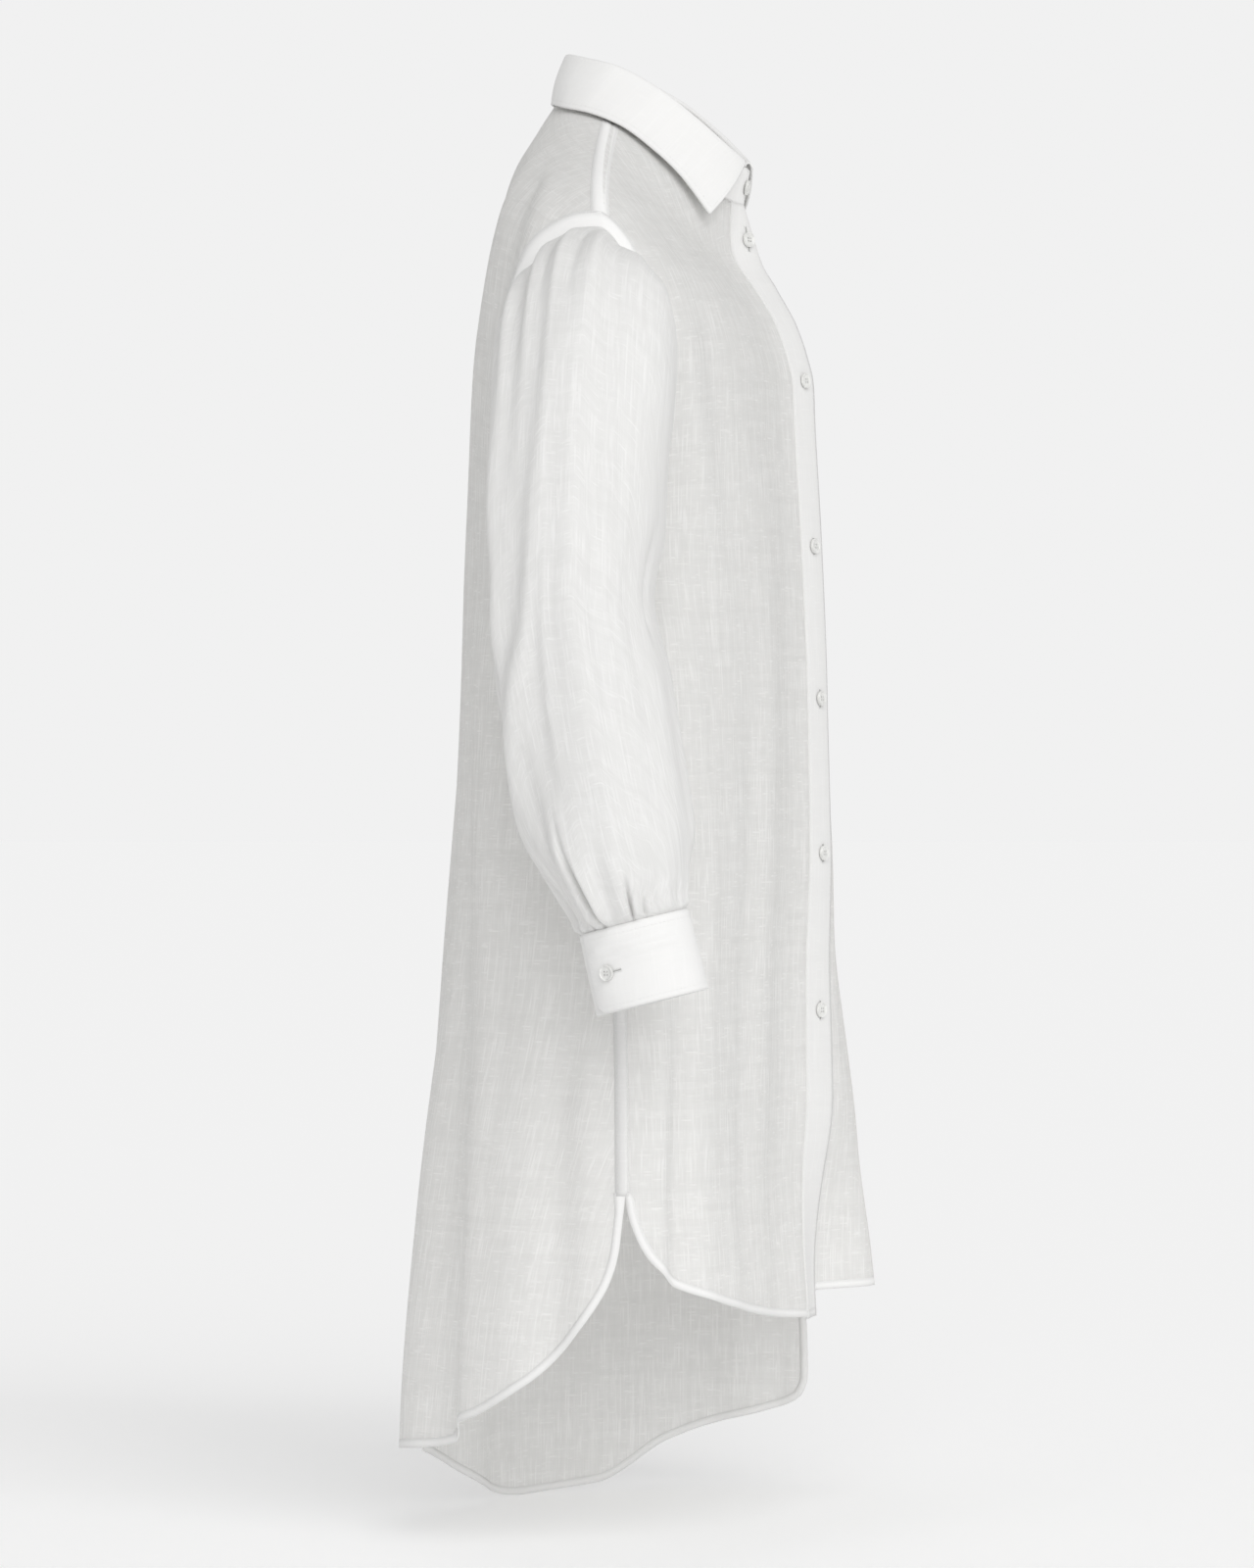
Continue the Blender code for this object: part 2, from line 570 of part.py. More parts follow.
def build_cuff(name, side):
    shown = np.linspace(CUFF_LAP_START, CUFF_LAP_SHOWN, 31)
    near_end = CUFF_LAP_START + np.array((2.0, 5.0, 9.0))
    hidden = np.linspace(CUFF_LAP_SHOWN, CUFF_LAP_END, 5)[1:]
    turns = np.sort(np.concatenate((shown, near_end, hidden)))
    under = CUFF_LAP_UNDER * ease((turns - CUFF_LAP_SHOWN + CUFF_LAP_RAMP) / CUFF_LAP_RAMP)
    from_end = np.radians(turns - CUFF_LAP_START) * (CUFF_HALF_OUT + CUFF_HALF_FORE) / 2
    bite = np.clip(CUFF_CORNER - from_end, 0.0, CUFF_CORNER)
    corner = CUFF_CORNER - np.sqrt(CUFF_CORNER**2 - bite**2)
    height = CUFF_HEIGHT - corner
    share = np.linspace(0.0, 1.0, 4)
    down = share[:, None] * height[None, :]
    turns, down = np.broadcast_arrays(turns[None, :], down)
    points = cuff_point(turns, down, under[None, :], side)
    add_sheet(name, points, cuff_normal(turns, side), WHITE_DOUBLED)


def collar_value(name, angle):
    """A collar measure at an angle from centre front, the same on both sides."""
    away = np.abs(turn_between(angle, 0.0))
    return smooth(away, NECK["angle"], NECK[name])


def collar_line(kind, angle):
    """Points of the roll line or of the outer edge of the fall, right side at -X."""
    away = turn_between(angle, 0.0)
    out = collar_value(kind + "_out", angle)
    x = -np.sign(away) * out
    return np.stack((x, collar_value(kind + "_y", angle), collar_value(kind + "_z", angle)), axis=-1)


def roll_point(angle):
    """The roll line, carried on past the end of the fall for the lapped stand."""
    away = turn_between(angle, 0.0)
    near = np.abs(away) < STAND_FLAT
    points = collar_line("roll", angle)
    ahead = collar_line("roll", np.full_like(away, STAND_FLAT))
    share = away / STAND_FLAT
    rise = 0.0015 * (np.abs(share) - 1.0)
    flat = np.stack((ahead[..., 0] * share, ahead[..., 1], ahead[..., 2] + rise), axis=-1)
    return np.where(near[..., None], flat, points)


def inward_at(angle):
    """The level direction from the roll line towards the inside of the neck."""
    step = 1.0
    along = roll_point(angle + step) - roll_point(angle - step)
    along[..., 2] = 0.0
    inward = np.stack((-along[..., 1], along[..., 0], np.zeros_like(along[..., 0])), axis=-1)
    inward /= np.linalg.norm(inward, axis=-1, keepdims=True)
    centre = np.array((0.0, 0.0, 0.0))
    towards = np.sum((centre - roll_point(angle)) * inward, axis=-1, keepdims=True)
    return np.where(towards < 0, -inward, inward)


def build_stand():
    lap = float(band_angle(np.array(NECK_LEVEL), STAND_LAP))
    right = front_grid(False)[0][-1]
    middle = back_grid()[0][-1]
    angles = np.concatenate(([-lap, -lap / 2, 0.0, lap / 2], right, middle, 360.0 - right[::-1]))
    angles = np.concatenate((angles, (360.0 - lap / 2, 360.0, 360.0 + lap / 2, 360.0 + lap)))
    angles = angles[np.concatenate(([True], np.diff(angles) > 0.6))]
    under = BAND_UNDER * ease((angles - 300.0) / (360.0 - lap - 306.0))
    base = body(angles, np.full_like(angles, NECK_LEVEL))
    base[:, 2] += CLOTH / 2 + SEAM_GAP + 0.0004
    inward = inward_at(angles)
    top = roll_point(angles) + inward * ROLL_RADIUS
    top[:, 2] -= STAND_DROP
    share = np.linspace(0.0, 1.0, STAND_ROWS + 1)[:, None, None]
    points = base[None] * (1 - share) + top[None] * share
    points = points + inward[None] * under[None, :, None]
    up = top - base
    up /= np.linalg.norm(up, axis=-1, keepdims=True)
    normals = -inward + up * np.sum(inward * up, axis=-1, keepdims=True)
    normals /= np.linalg.norm(normals, axis=-1, keepdims=True)
    normals = np.repeat(normals[None], STAND_ROWS + 1, axis=0)
    add_sheet("collar_stand", points, normals, WHITE_DOUBLED)


def build_fall():
    angles = np.linspace(COLLAR_START, 360.0 - COLLAR_START, 33)
    roll = collar_line("roll", angles)
    edge = collar_line("edge", angles)
    inward = inward_at(angles)
    up = np.array((0.0, 0.0, 1.0))
    rows = [roll + inward * ROLL_RADIUS - up * 0.0015]
    rows.append(roll + inward * 0.0012 + up * 0.0004)
    rows.append(roll - inward * 0.0012 + up * 0.0004)
    start = roll - inward * 0.0030 - up * 0.0020
    span = edge - start
    bulge = np.linalg.norm(span, axis=-1, keepdims=True) * 0.05
    for share in np.linspace(0.0, 1.0, FALL_ROWS + 1):
        rows.append(start + span * share - inward * bulge * math.sin(math.pi * share))
    points = np.stack(rows)
    along = np.gradient(points, axis=1)
    down = np.gradient(points, axis=0)
    normals = np.cross(along, down)
    normals /= np.linalg.norm(normals, axis=-1, keepdims=True)
    if np.sum(normals[-1] * -inward) < 0:
        normals = -normals
    add_sheet("collar_fall", points, normals, WHITE_DOUBLED)


def add_button(name, centre, facing):
    """A small dished disc with a raised rim, lying just above the cloth at centre."""
    facing = np.asarray(facing, dtype=float)
    facing /= np.linalg.norm(facing)
    side = np.cross(facing, (0.0, 0.0, 1.0))
    side /= np.linalg.norm(side)
    top = np.cross(side, facing)
    radius = BUTTON_WIDTH / 2
    profile = ((radius * 0.80, 0.0), (radius, BUTTON_THICK * 0.35), (radius, BUTTON_THICK * 0.70),
               (radius * 0.84, BUTTON_THICK), (radius * 0.62, BUTTON_THICK * 0.62))
    segments = 12
    points = []
    for distance, height in profile:
        for index in range(segments):
            turn = 2 * math.pi * index / segments
            flat = side * math.cos(turn) * distance + top * math.sin(turn) * distance
            points.append(centre + flat + facing * (height + BUTTON_LIFT))
    faces = []
    for row in range(len(profile) - 1):
        for index in range(segments):
            after = (index + 1) % segments
            a = row * segments + index
            b = row * segments + after
            faces.append((a, b, b + segments, a + segments))
    faces.append(tuple(reversed(range(segments))))
    last = (len(profile) - 1) * segments
    faces.append(tuple(range(last, last + segments)))
    rims = [False] * (len(faces) - 2) + [True, True]
    add_object(name, np.array(points), faces, rims, WHITE_BUTTON, 0.35)


def level_at_height(height):
    """The level whose ring passes centre front at this height."""
    return float(np.interp(height, BODY["front_z"], BODY["side_z"]))


def build_buttons():
    for index, height in enumerate(BUTTON_HEIGHTS):
        level = np.array(level_at_height(height))
        angle = np.array(0.0)
        facing = body_normals(angle, level)
        centre = body(angle, level) + facing * BAND_CLOTH / 2
        add_button("button_%d" % (index + 1), centre, facing)
    base = body(np.array(0.0), np.array(NECK_LEVEL))
    top = roll_point(np.array([0.0]))[0] + inward_at(np.array([0.0]))[0] * ROLL_RADIUS
    up = top - base
    facing = np.cross((1.0, 0.0, 0.0), up)
    facing = facing if facing[1] < 0 else -facing
    facing /= np.linalg.norm(facing)
    add_button("button_stand", base + up * 0.48 + facing * CLOTH / 2, facing)
    for name, side in (("cuff_button_right", -1), ("cuff_button_left", 1)):
        turn = np.array(CUFF_BUTTON_ANGLE)
        facing = cuff_normal(turn, side)
        centre = cuff_point(turn, np.array(CUFF_BUTTON_DOWN), 0.0, side) + facing * CLOTH / 2
        add_button(name, centre, facing)


for old in list(bpy.data.objects):
    bpy.data.objects.remove(old, do_unlink=True)
GARMENT = bpy.data.collections.new("long_shirt_dress")
bpy.context.scene.collection.children.link(GARMENT)

build_panels()
build_bands()
build_sleeve("sleeve_right", -1)
build_sleeve("sleeve_left", 1)
build_cuff("cuff_right", -1)
build_cuff("cuff_left", 1)
build_stand()
build_fall()
build_buttons()
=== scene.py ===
# %% [markdown]
# # A long white shirt dress in slub gauze
#
# The garment is a long shirt dress: two fronts, one back, full sleeves with buttoned cuffs, a
# collar on a stand, and a tail hem that hangs longer at the back. It keeps the hollow shape that
# it has when somebody wears it. The frame is the imported solid model, and each soft solid in it is
# replaced here by a thin sheet on the same form, with its finer folds, seams and stitches.
#
# We start by loading the frame, and we keep its box, whose lowest point sets the floor.

# %% Load the frame
import math

import bmesh
import bpy
import numpy as np
from mathutils import Matrix, Vector


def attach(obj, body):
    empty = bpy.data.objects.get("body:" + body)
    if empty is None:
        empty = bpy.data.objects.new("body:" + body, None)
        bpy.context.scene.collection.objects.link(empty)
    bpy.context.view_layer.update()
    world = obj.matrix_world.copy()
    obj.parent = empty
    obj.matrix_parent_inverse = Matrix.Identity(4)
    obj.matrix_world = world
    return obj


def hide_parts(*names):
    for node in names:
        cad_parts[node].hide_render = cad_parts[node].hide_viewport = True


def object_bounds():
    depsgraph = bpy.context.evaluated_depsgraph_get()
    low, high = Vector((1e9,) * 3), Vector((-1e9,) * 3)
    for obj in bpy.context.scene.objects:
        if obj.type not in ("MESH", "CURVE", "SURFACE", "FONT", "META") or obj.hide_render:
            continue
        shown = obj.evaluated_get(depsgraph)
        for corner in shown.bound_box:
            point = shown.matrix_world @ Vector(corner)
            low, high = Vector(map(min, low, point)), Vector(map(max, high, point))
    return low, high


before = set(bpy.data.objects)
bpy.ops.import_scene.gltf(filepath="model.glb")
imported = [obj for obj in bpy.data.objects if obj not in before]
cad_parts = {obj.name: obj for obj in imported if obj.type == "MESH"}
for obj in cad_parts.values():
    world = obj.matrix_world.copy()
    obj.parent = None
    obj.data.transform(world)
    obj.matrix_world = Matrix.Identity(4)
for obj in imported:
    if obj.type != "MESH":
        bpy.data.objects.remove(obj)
solid_low, solid_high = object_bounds()
print("solids:", len(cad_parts), "box:", tuple(solid_high - solid_low))

# %% [markdown]
# A few small helpers are used all through. One clears the selection, so that the next operator
# acts on its own object alone. One puts a new object into the scene, and one makes a material and
# sets the plain numbers of its surface. The right side of the dress is at -X.

# %% Small helpers
SIDES = (("right", -1), ("left", 1))
WHITE = (1.0, 1.0, 1.0, 1.0)


def deselect():
    """Nothing selected, so that the next operator acts on its own object alone."""
    for thing in bpy.context.selected_objects:
        thing.select_set(False)


def in_scene(name, data):
    """A new object with this data, linked into the scene."""
    made = bpy.data.objects.new(name, data)
    bpy.context.scene.collection.objects.link(made)
    return made


def material(name, values):
    """A new material with these socket values: itself, its node tree and its surface node."""
    made = bpy.data.materials.new(name)
    made.use_nodes = True
    surface = made.node_tree.nodes["Principled BSDF"]
    for socket, value in values.items():
        surface.inputs[socket].default_value = value
    return made, made.node_tree, surface


print("sides:", SIDES)

# %% [markdown]
# ## Camera, floor and light
#
# The photograph looks at the wearer's right side from a little in front, with a long lens and a
# level camera. A long lens keeps the collar and the hem at nearly the same scale. The light is a
# bright even surround with one large soft light near the camera, which is how white clothes are
# photographed: the folds show as soft greys and nothing has a hard shadow.

# %% Camera
VIEW_TURN = math.radians(10.5)
CAMERA_DISTANCE = 5.0
EYE_LEVEL = -0.4975
FRAME_HEIGHT = 1.2
SIDE_SHIFT = 0.02025
SENSOR = 36.0

ahead = Vector((math.cos(VIEW_TURN), math.sin(VIEW_TURN), 0.0))
to_right = Vector((math.sin(VIEW_TURN), -math.cos(VIEW_TURN), 0.0))
lens = bpy.data.cameras.new("photo_camera")
lens.sensor_fit = "VERTICAL"
lens.sensor_height = SENSOR
lens.sensor_width = SENSOR
lens.lens = SENSOR * CAMERA_DISTANCE / FRAME_HEIGHT
camera = in_scene("photo_camera", lens)
camera.location = -ahead * CAMERA_DISTANCE - to_right * SIDE_SHIFT + Vector((0, 0, EYE_LEVEL))
camera.rotation_euler = ahead.to_track_quat("-Z", "Y").to_euler()
bpy.context.scene.camera = camera
print("camera at", tuple(round(value, 3) for value in camera.location))

# %% [markdown]
# The floor is a wide pale sheet just below the hem. It glows a little, so that it has the grey of
# the backdrop, and the line where they meet can't be seen. The camera sees the backdrop at full
# strength, but the cloth gets less light from it than from the key light, so that folds show.

# %% Floor and light
BACKDROP = 0.879
AMBIENT = 0.52
KEY_LIGHT = 1.47
KEY_FROM = (-0.78, -0.42, 0.50)
FILL_LIGHT = 0.08
FILL_FROM = (-0.30, -0.90, 0.30)
LIGHT_SOFTNESS = math.radians(50.0)
FLOOR_COLOUR = (0.90, 0.90, 0.90, 1.0)
FLOOR_GLOW = 0.201
FLOOR_GAP = 0.0015
FLOOR_RADIUS = 60.0

deselect()
bpy.ops.mesh.primitive_circle_add(vertices=96, radius=FLOOR_RADIUS, fill_type="NGON",
                                  location=(0, 0, solid_low.z - FLOOR_GAP))
floor = bpy.context.object
floor.name = "studio_floor"
bpy.ops.object.transform_apply(location=True, rotation=True, scale=True)
floor_paint, _, _ = material("floor_paint", {
    "Base Color": FLOOR_COLOUR, "Roughness": 1.0, "Specular IOR Level": 0.0,
    "Emission Color": WHITE, "Emission Strength": FLOOR_GLOW})
floor.data.materials.append(floor_paint)

surround = bpy.data.worlds.new("pale_surround")
surround.use_nodes = True
sky = surround.node_tree
seen = sky.nodes.new("ShaderNodeLightPath")
strength = sky.nodes.new("ShaderNodeMath")
strength.operation = "MULTIPLY_ADD"
strength.inputs[1].default_value = BACKDROP - AMBIENT
strength.inputs[2].default_value = AMBIENT
sky.links.new(seen.outputs["Is Camera Ray"], strength.inputs[0])
sky.nodes["Background"].inputs["Color"].default_value = WHITE
sky.links.new(strength.outputs["Value"], sky.nodes["Background"].inputs["Strength"])
bpy.context.scene.world = surround
bpy.context.scene.view_settings.view_transform = "Standard"


def soft_light(name, comes_from, strength):
    """A very soft light that comes evenly from one side."""
    light = bpy.data.lights.new(name, "SUN")
    light.energy = strength
    light.angle = LIGHT_SOFTNESS
    in_scene(name, light).rotation_euler = Vector(comes_from).to_track_quat("Z", "Y").to_euler()


soft_light("key_light", KEY_FROM, KEY_LIGHT)
soft_light("fill_light", FILL_FROM, FILL_LIGHT)
print("floor at", round(solid_low.z - FLOOR_GAP, 3))

# %% [markdown]
# ## Smooth curves through short tables
#
# A pattern maker knows a garment by a few measures: how wide it is at the hem, the waist and the
# shoulder. We do the same. Each shape is a short table of measures, and a curve runs smoothly
# through them. The curve is a monotone cubic, which never swings past its own points, so no
# bulge appears that the table doesn't have.

# %% Tables and curves
def table(rows, names):
    """The columns of a table, by name."""
    values = np.array(rows, dtype=float)
    return {name: values[:, index] for index, name in enumerate(names)}


def smooth(at, stations, values):
    """A curve through the values that never swings past them."""
    at = np.clip(at, stations[0], stations[-1])
    steps = np.diff(stations)
    rises = np.diff(values) / steps
    slopes = np.zeros(len(values))
    same = rises[:-1] * rises[1:] > 0
    weight_a = 2 * steps[1:] + steps[:-1]
    weight_b = steps[1:] + 2 * steps[:-1]
    safe = np.where(same, rises[:-1] * rises[1:], 1.0)
    middle = (weight_a + weight_b) * safe / (weight_a * rises[1:] + weight_b * rises[:-1] + 1e-30)
    slopes[1:-1] = np.where(same, middle, 0.0)
    slopes[0] = rises[0]
    slopes[-1] = rises[-1]
    cell = np.clip(np.searchsorted(stations, at, side="right") - 1, 0, len(steps) - 1)
    part = (at - stations[cell]) / steps[cell]
    low = values[cell]
    high = values[cell + 1]
    start = slopes[cell] * steps[cell]
    end = slopes[cell + 1] * steps[cell]
    cubic = (2 * part**3 - 3 * part**2 + 1) * low + (part**3 - 2 * part**2 + part) * start
    return cubic + (3 * part**2 - 2 * part**3) * high + (part**3 - part**2) * end


def ease(value):
    """A soft step from 0 to 1."""
    value = np.clip(value, 0.0, 1.0)
    return value * value * (3 - 2 * value)


def unit(vectors):
    """The same directions, each with length 1."""
    return vectors / np.linalg.norm(vectors, axis=-1, keepdims=True)


def turn_between(angle, centre):
    """The signed turn from centre to angle, in degrees."""
    return (angle - centre + 180.0) % 360.0 - 180.0


print("halfway up a soft step:", float(ease(0.5)))

# %% [markdown]
# ## The form of the body
#
# Each row of the table is a ring round the body: its height at the side, front and back, its half
# width and its depths. The front of a ring drops lower than its side near the neck, which makes
# the slope of the shoulders. These are the same measures that the solid model was made from.

# %% Rings of the body
RING_NAMES = ("side_z", "front_z", "back_z", "half_width", "front_y", "back_y", "side_y",
              "square", "twist")
RINGS = (
    (-1.080, -1.080, -1.080, 0.272, 0.121, 0.164, -0.057, 2.10, -6.8),
    (-0.900, -0.900, -0.900, 0.263, 0.119, 0.160, -0.053, 2.10, -5.6),
    (-0.775, -0.775, -0.775, 0.252, 0.109, 0.158, -0.040, 2.15, -3.4),
    (-0.650, -0.650, -0.650, 0.241, 0.109, 0.152, -0.026, 2.20, -1.4),
    (-0.540, -0.540, -0.540, 0.233, 0.113, 0.146, -0.014, 2.25, -0.6),
    (-0.430, -0.430, -0.430, 0.226, 0.112, 0.140, -0.004, 2.30, 0.0),
    (-0.310, -0.318, -0.310, 0.221, 0.108, 0.134, 0.002, 2.40, 0.0),
    (-0.200, -0.226, -0.186, 0.2270, 0.103, 0.124, 0.002, 2.45, 0.0),
    (-0.150, -0.192, -0.134, 0.2305, 0.1015, 0.118, 0.000, 2.38, 0.0),
    (-0.120, -0.170, -0.103, 0.2290, 0.0965, 0.1145, -0.001, 2.30, 0.0),
    (-0.089, -0.146, -0.068, 0.2220, 0.0880, 0.1095, -0.001, 2.17, 0.0),
    (-0.070, -0.132, -0.048, 0.2080, 0.0805, 0.1065, 0.002, 2.00, 0.0),
    (-0.053, -0.120, -0.030, 0.1870, 0.0735, 0.1020, 0.006, 1.85, 0.0),
    (-0.021, -0.091, 0.001, 0.1250, 0.0605, 0.0875, 0.015, 1.68, 0.0),
    (0.005, -0.0550, 0.0290, 0.066, 0.0655, 0.0705, 0.0225, 1.75, 0.0),
)
SHOULDER_DROP_POWER = 1.15
BODY = table(RINGS, RING_NAMES)
print("rings:", len(RINGS))

# %% [markdown]
# ## Folds and creases
#
# Cloth that hangs from the shoulders falls in long soft folds that widen towards the hem, because
# there is more cloth there than body. The first table holds the large folds of the solid model.
# The second adds shallower ones, uneven in length, depth and spacing. Each fold is a bell
# curve round the body that fades in and out with height.
#
# The columns are the angle at its top and at its foot, its spread, the heights at which it starts,
# is full, fades and ends, and its rise, in degrees and metres. TO_HEM stands for a fold that is
# still full at the hem.

# %% Folds of the body
TO_HEM = (-1.200, -1.300)
LARGE_FOLDS = (
    (-5.6, -2.6, 6.6, -0.038, -0.100, -0.730, -0.880, 0.0195),
    (5.5, 5.5, 5.0, -0.740, -0.900, *TO_HEM, 0.0060),
    (-6.0, -5.5, 4.5, -0.740, -0.900, *TO_HEM, -0.0080),
    (-17.0, -16.0, 8.0, -0.410, -0.860, *TO_HEM, 0.0385),
    (150.0, 147.0, 8.5, -0.560, -0.980, *TO_HEM, 0.0230),
    (-151.0, -146.0, 11.0, -0.480, -0.960, *TO_HEM, 0.0200),
    (184.0, 178.0, 9.0, -0.420, -0.800, *TO_HEM, 0.0090),
    (42.0, 38.0, 9.0, -0.640, -0.900, *TO_HEM, 0.0090),
    (118.0, 116.0, 9.0, -0.600, -0.900, *TO_HEM, 0.0100),
    (-47.0, -44.0, 9.0, -0.600, -0.900, *TO_HEM, 0.0110),
    (-118.0, -112.0, 10.0, -0.520, -0.900, *TO_HEM, 0.0120),
    (133.0, 124.0, 8.0, -0.330, -0.430, -0.500, -0.700, 0.0060),
    (-130.0, -122.0, 9.0, -0.320, -0.440, -0.520, -0.680, 0.0065),
    (62.0, 57.0, 8.0, -0.330, -0.430, -0.480, -0.680, 0.0050),
    (-58.0, -63.0, 8.0, -0.340, -0.440, -0.500, -0.700, 0.0055),
)
SMALL_CREASES = (
    (25.0, 22.0, 3.4, -0.220, -0.400, -0.740, -0.960, 0.0034),
    (34.0, 33.0, 3.0, -0.340, -0.540, -0.780, -0.960, -0.0034),
    (52.0, 50.0, 3.6, -0.420, -0.660, *TO_HEM, 0.0040),
    (63.0, 61.0, 3.0, -0.480, -0.700, *TO_HEM, -0.0034),
    (73.0, 70.0, 3.2, -0.340, -0.540, -0.820, -1.000, 0.0034),
    (82.0, 80.0, 2.2, -0.380, -0.500, -0.620, -0.740, -0.0018),
    (97.0, 99.0, 2.8, -0.400, -0.620, *TO_HEM, 0.0028),
    (106.0, 105.0, 3.4, -0.480, -0.720, *TO_HEM, -0.0042),
    (127.0, 125.0, 3.2, -0.420, -0.700, *TO_HEM, 0.0044),
    (131.5, 131.5, 2.0, -0.700, -0.950, *TO_HEM, -0.0060),
    (139.0, 136.0, 3.2, -0.300, -0.520, -0.960, -1.200, -0.0050),
    (160.0, 160.0, 3.8, -0.260, -0.560, *TO_HEM, -0.0052),
    (170.0, 168.0, 3.2, -0.360, -0.640, *TO_HEM, 0.0040),
    (194.0, 192.0, 3.6, -0.300, -0.600, *TO_HEM, -0.0046),
    (203.0, 204.0, 3.2, -0.460, -0.720, *TO_HEM, 0.0036),
    (222.0, 225.0, 3.6, -0.340, -0.620, *TO_HEM, -0.0044),
    (236.0, 238.0, 3.0, -0.420, -0.700, -0.900, -1.100, 0.0034),
    (252.0, 255.0, 3.6, -0.380, -0.640, *TO_HEM, -0.0038),
    (263.0, 261.0, 2.4, -0.480, -0.660, -0.960, -1.200, 0.0018),
    (282.0, 284.0, 3.0, -0.380, -0.600, -0.840, -1.000, 0.0036),
    (291.0, 292.0, 2.8, -0.460, -0.680, *TO_HEM, -0.0034),
    (303.0, 306.0, 3.4, -0.340, -0.540, -0.780, -0.960, 0.0036),
    (324.0, 326.0, 3.2, -0.400, -0.660, *TO_HEM, -0.0040),
    (335.0, 337.0, 3.0, -0.240, -0.440, -0.700, -0.880, 0.0030),
    (112.0, 128.0, 4.2, -0.030, -0.070, -0.110, -0.210, 0.0034),
    (122.0, 143.0, 4.0, -0.020, -0.060, -0.130, -0.260, -0.0034),
    (135.0, 156.0, 4.4, -0.010, -0.050, -0.150, -0.300, 0.0034),
    (152.0, 166.0, 4.0, -0.000, -0.060, -0.120, -0.280, -0.0024),
    (-116.0, -131.0, 4.2, -0.035, -0.075, -0.120, -0.230, 0.0032),
    (-128.0, -146.0, 4.4, -0.020, -0.060, -0.140, -0.290, -0.0032),
    (-144.0, -160.0, 4.2, -0.010, -0.050, -0.130, -0.270, 0.0028),
    (60.0, 44.0, 4.0, -0.100, -0.190, -0.240, -0.400, 0.0034),
    (47.0, 36.0, 3.6, -0.110, -0.180, -0.260, -0.440, -0.0030),
    (-61.0, -46.0, 4.0, -0.110, -0.190, -0.250, -0.420, 0.0032),
    (-46.0, -34.0, 3.6, -0.120, -0.200, -0.260, -0.420, -0.0026),
)
print("large folds:", len(LARGE_FOLDS), "small creases:", len(SMALL_CREASES))

# %% [markdown]
# A point of the cloth is named by an angle round the body and a level. Angle 0 is centre front,
# 90 the wearer's right side, 180 centre back. The function below turns them into a place.

# %% A point of the body cloth
def body_column(name, level):
    """A ring value at a level, which is the height of the ring at the side."""
    return smooth(level, BODY["side_z"], BODY[name])


def ring_depths(level):
    """How deep a ring is before and behind the line of its sides."""
    side_y = body_column("side_y", level)
    return side_y + body_column("front_y", level), body_column("back_y", level) - side_y


def fold_lift(folds, turn, at):
    """How far folds push the cloth out, at a turn and a height or a share of the way along."""
    lift = np.zeros_like(at)
    for top, low, spread, starts, full, fades, ends, rise in folds:
        centre = top + (low - top) * np.clip((at - starts) / (min(ends, 1.0) - starts), 0.0, 1.0)
        strength = ease((at - starts) / (full - starts))
        strength = strength * (1 - ease((at - fades) / (ends - fades)))
        lift = lift + rise * strength * np.exp(-0.5 * (turn_between(turn, centre) / spread) ** 2)
    return lift


def body(angle, level):
    """A point of the body cloth at an angle in degrees and a level."""
    angle, level = np.broadcast_arrays(np.asarray(angle, float), np.asarray(level, float))
    across = np.sin(np.radians(angle))
    along = np.cos(np.radians(angle))
    power = body_column("square", level)
    reach = (np.abs(across) ** power + np.abs(along) ** power) ** (-1 / power)
    half = body_column("half_width", level)
    side_y = body_column("side_y", level)
    depth = np.where(along > 0, *ring_depths(level))
    x = -half * reach * across
    y = side_y - depth * reach * along
    target = np.where(along > 0, body_column("front_z", level), body_column("back_z", level))
    z = level + (target - level) * np.abs(along) ** SHOULDER_DROP_POWER
    normal_x = x / half**2
    normal_y = (y - side_y) / depth**2
    size = np.hypot(normal_x, normal_y)
    lift = fold_lift(LARGE_FOLDS + SMALL_CREASES, angle, z)
    x = x + lift * normal_x / size
    y = y + lift * normal_y / size
    twist = np.radians(body_column("twist", level))
    turned_x = x * np.cos(twist) - y * np.sin(twist)
    turned_y = x * np.sin(twist) + y * np.cos(twist)
    return np.stack((turned_x, turned_y, z), axis=-1)


def body_normals(angle, level):
    """Outward unit normals of the body cloth."""
    level = np.clip(level, RINGS[0][0] + 2e-4, RINGS[-1][0] - 2e-4)
    angle, level = np.broadcast_arrays(np.asarray(angle, float), level)
    around = body(angle + 0.02, level) - body(angle - 0.02, level)
    upwards = body(angle, level + 1e-4) - body(angle, level - 1e-4)
    return unit(np.cross(upwards, around))


def metres_per_degree(angle, level):
    """How much cloth one degree of turn is, at an angle and a level."""
    return np.linalg.norm(body(angle + 0.5, level) - body(angle - 0.5, level), axis=-1)


print("centre front at the waist:", np.round(body(0.0, -0.4), 3))

# %% [markdown]
# ## The cloth
#
# The dress is cut from a fine slub gauze: a plain weave of thin white yarn in which single yarns
# swell here and there, up and down and across. One layer lets a little light through and looks
# pale grey. Where the cloth is doubled, as in the collar, cuffs, bands and hems, it looks whiter.
#
# Every finish reads the piece's own UV map, laid out in metres along the cloth, so the yarns
# follow each piece as they would on the real cut. An image could show the weave too, but noise
# along straight threads has no size limit and never repeats.

# %% Nodes for the yarns
THREADS_APART = 7.31


def node(tree, kind, **values):
    """A node of this kind, with its properties and the plain numbers of its sockets set."""
    made = tree.nodes.new(kind)
    for name, value in values.items():
        if name in made.inputs:
            made.inputs[name].default_value = value
        else:
            setattr(made, name, value)
    return made


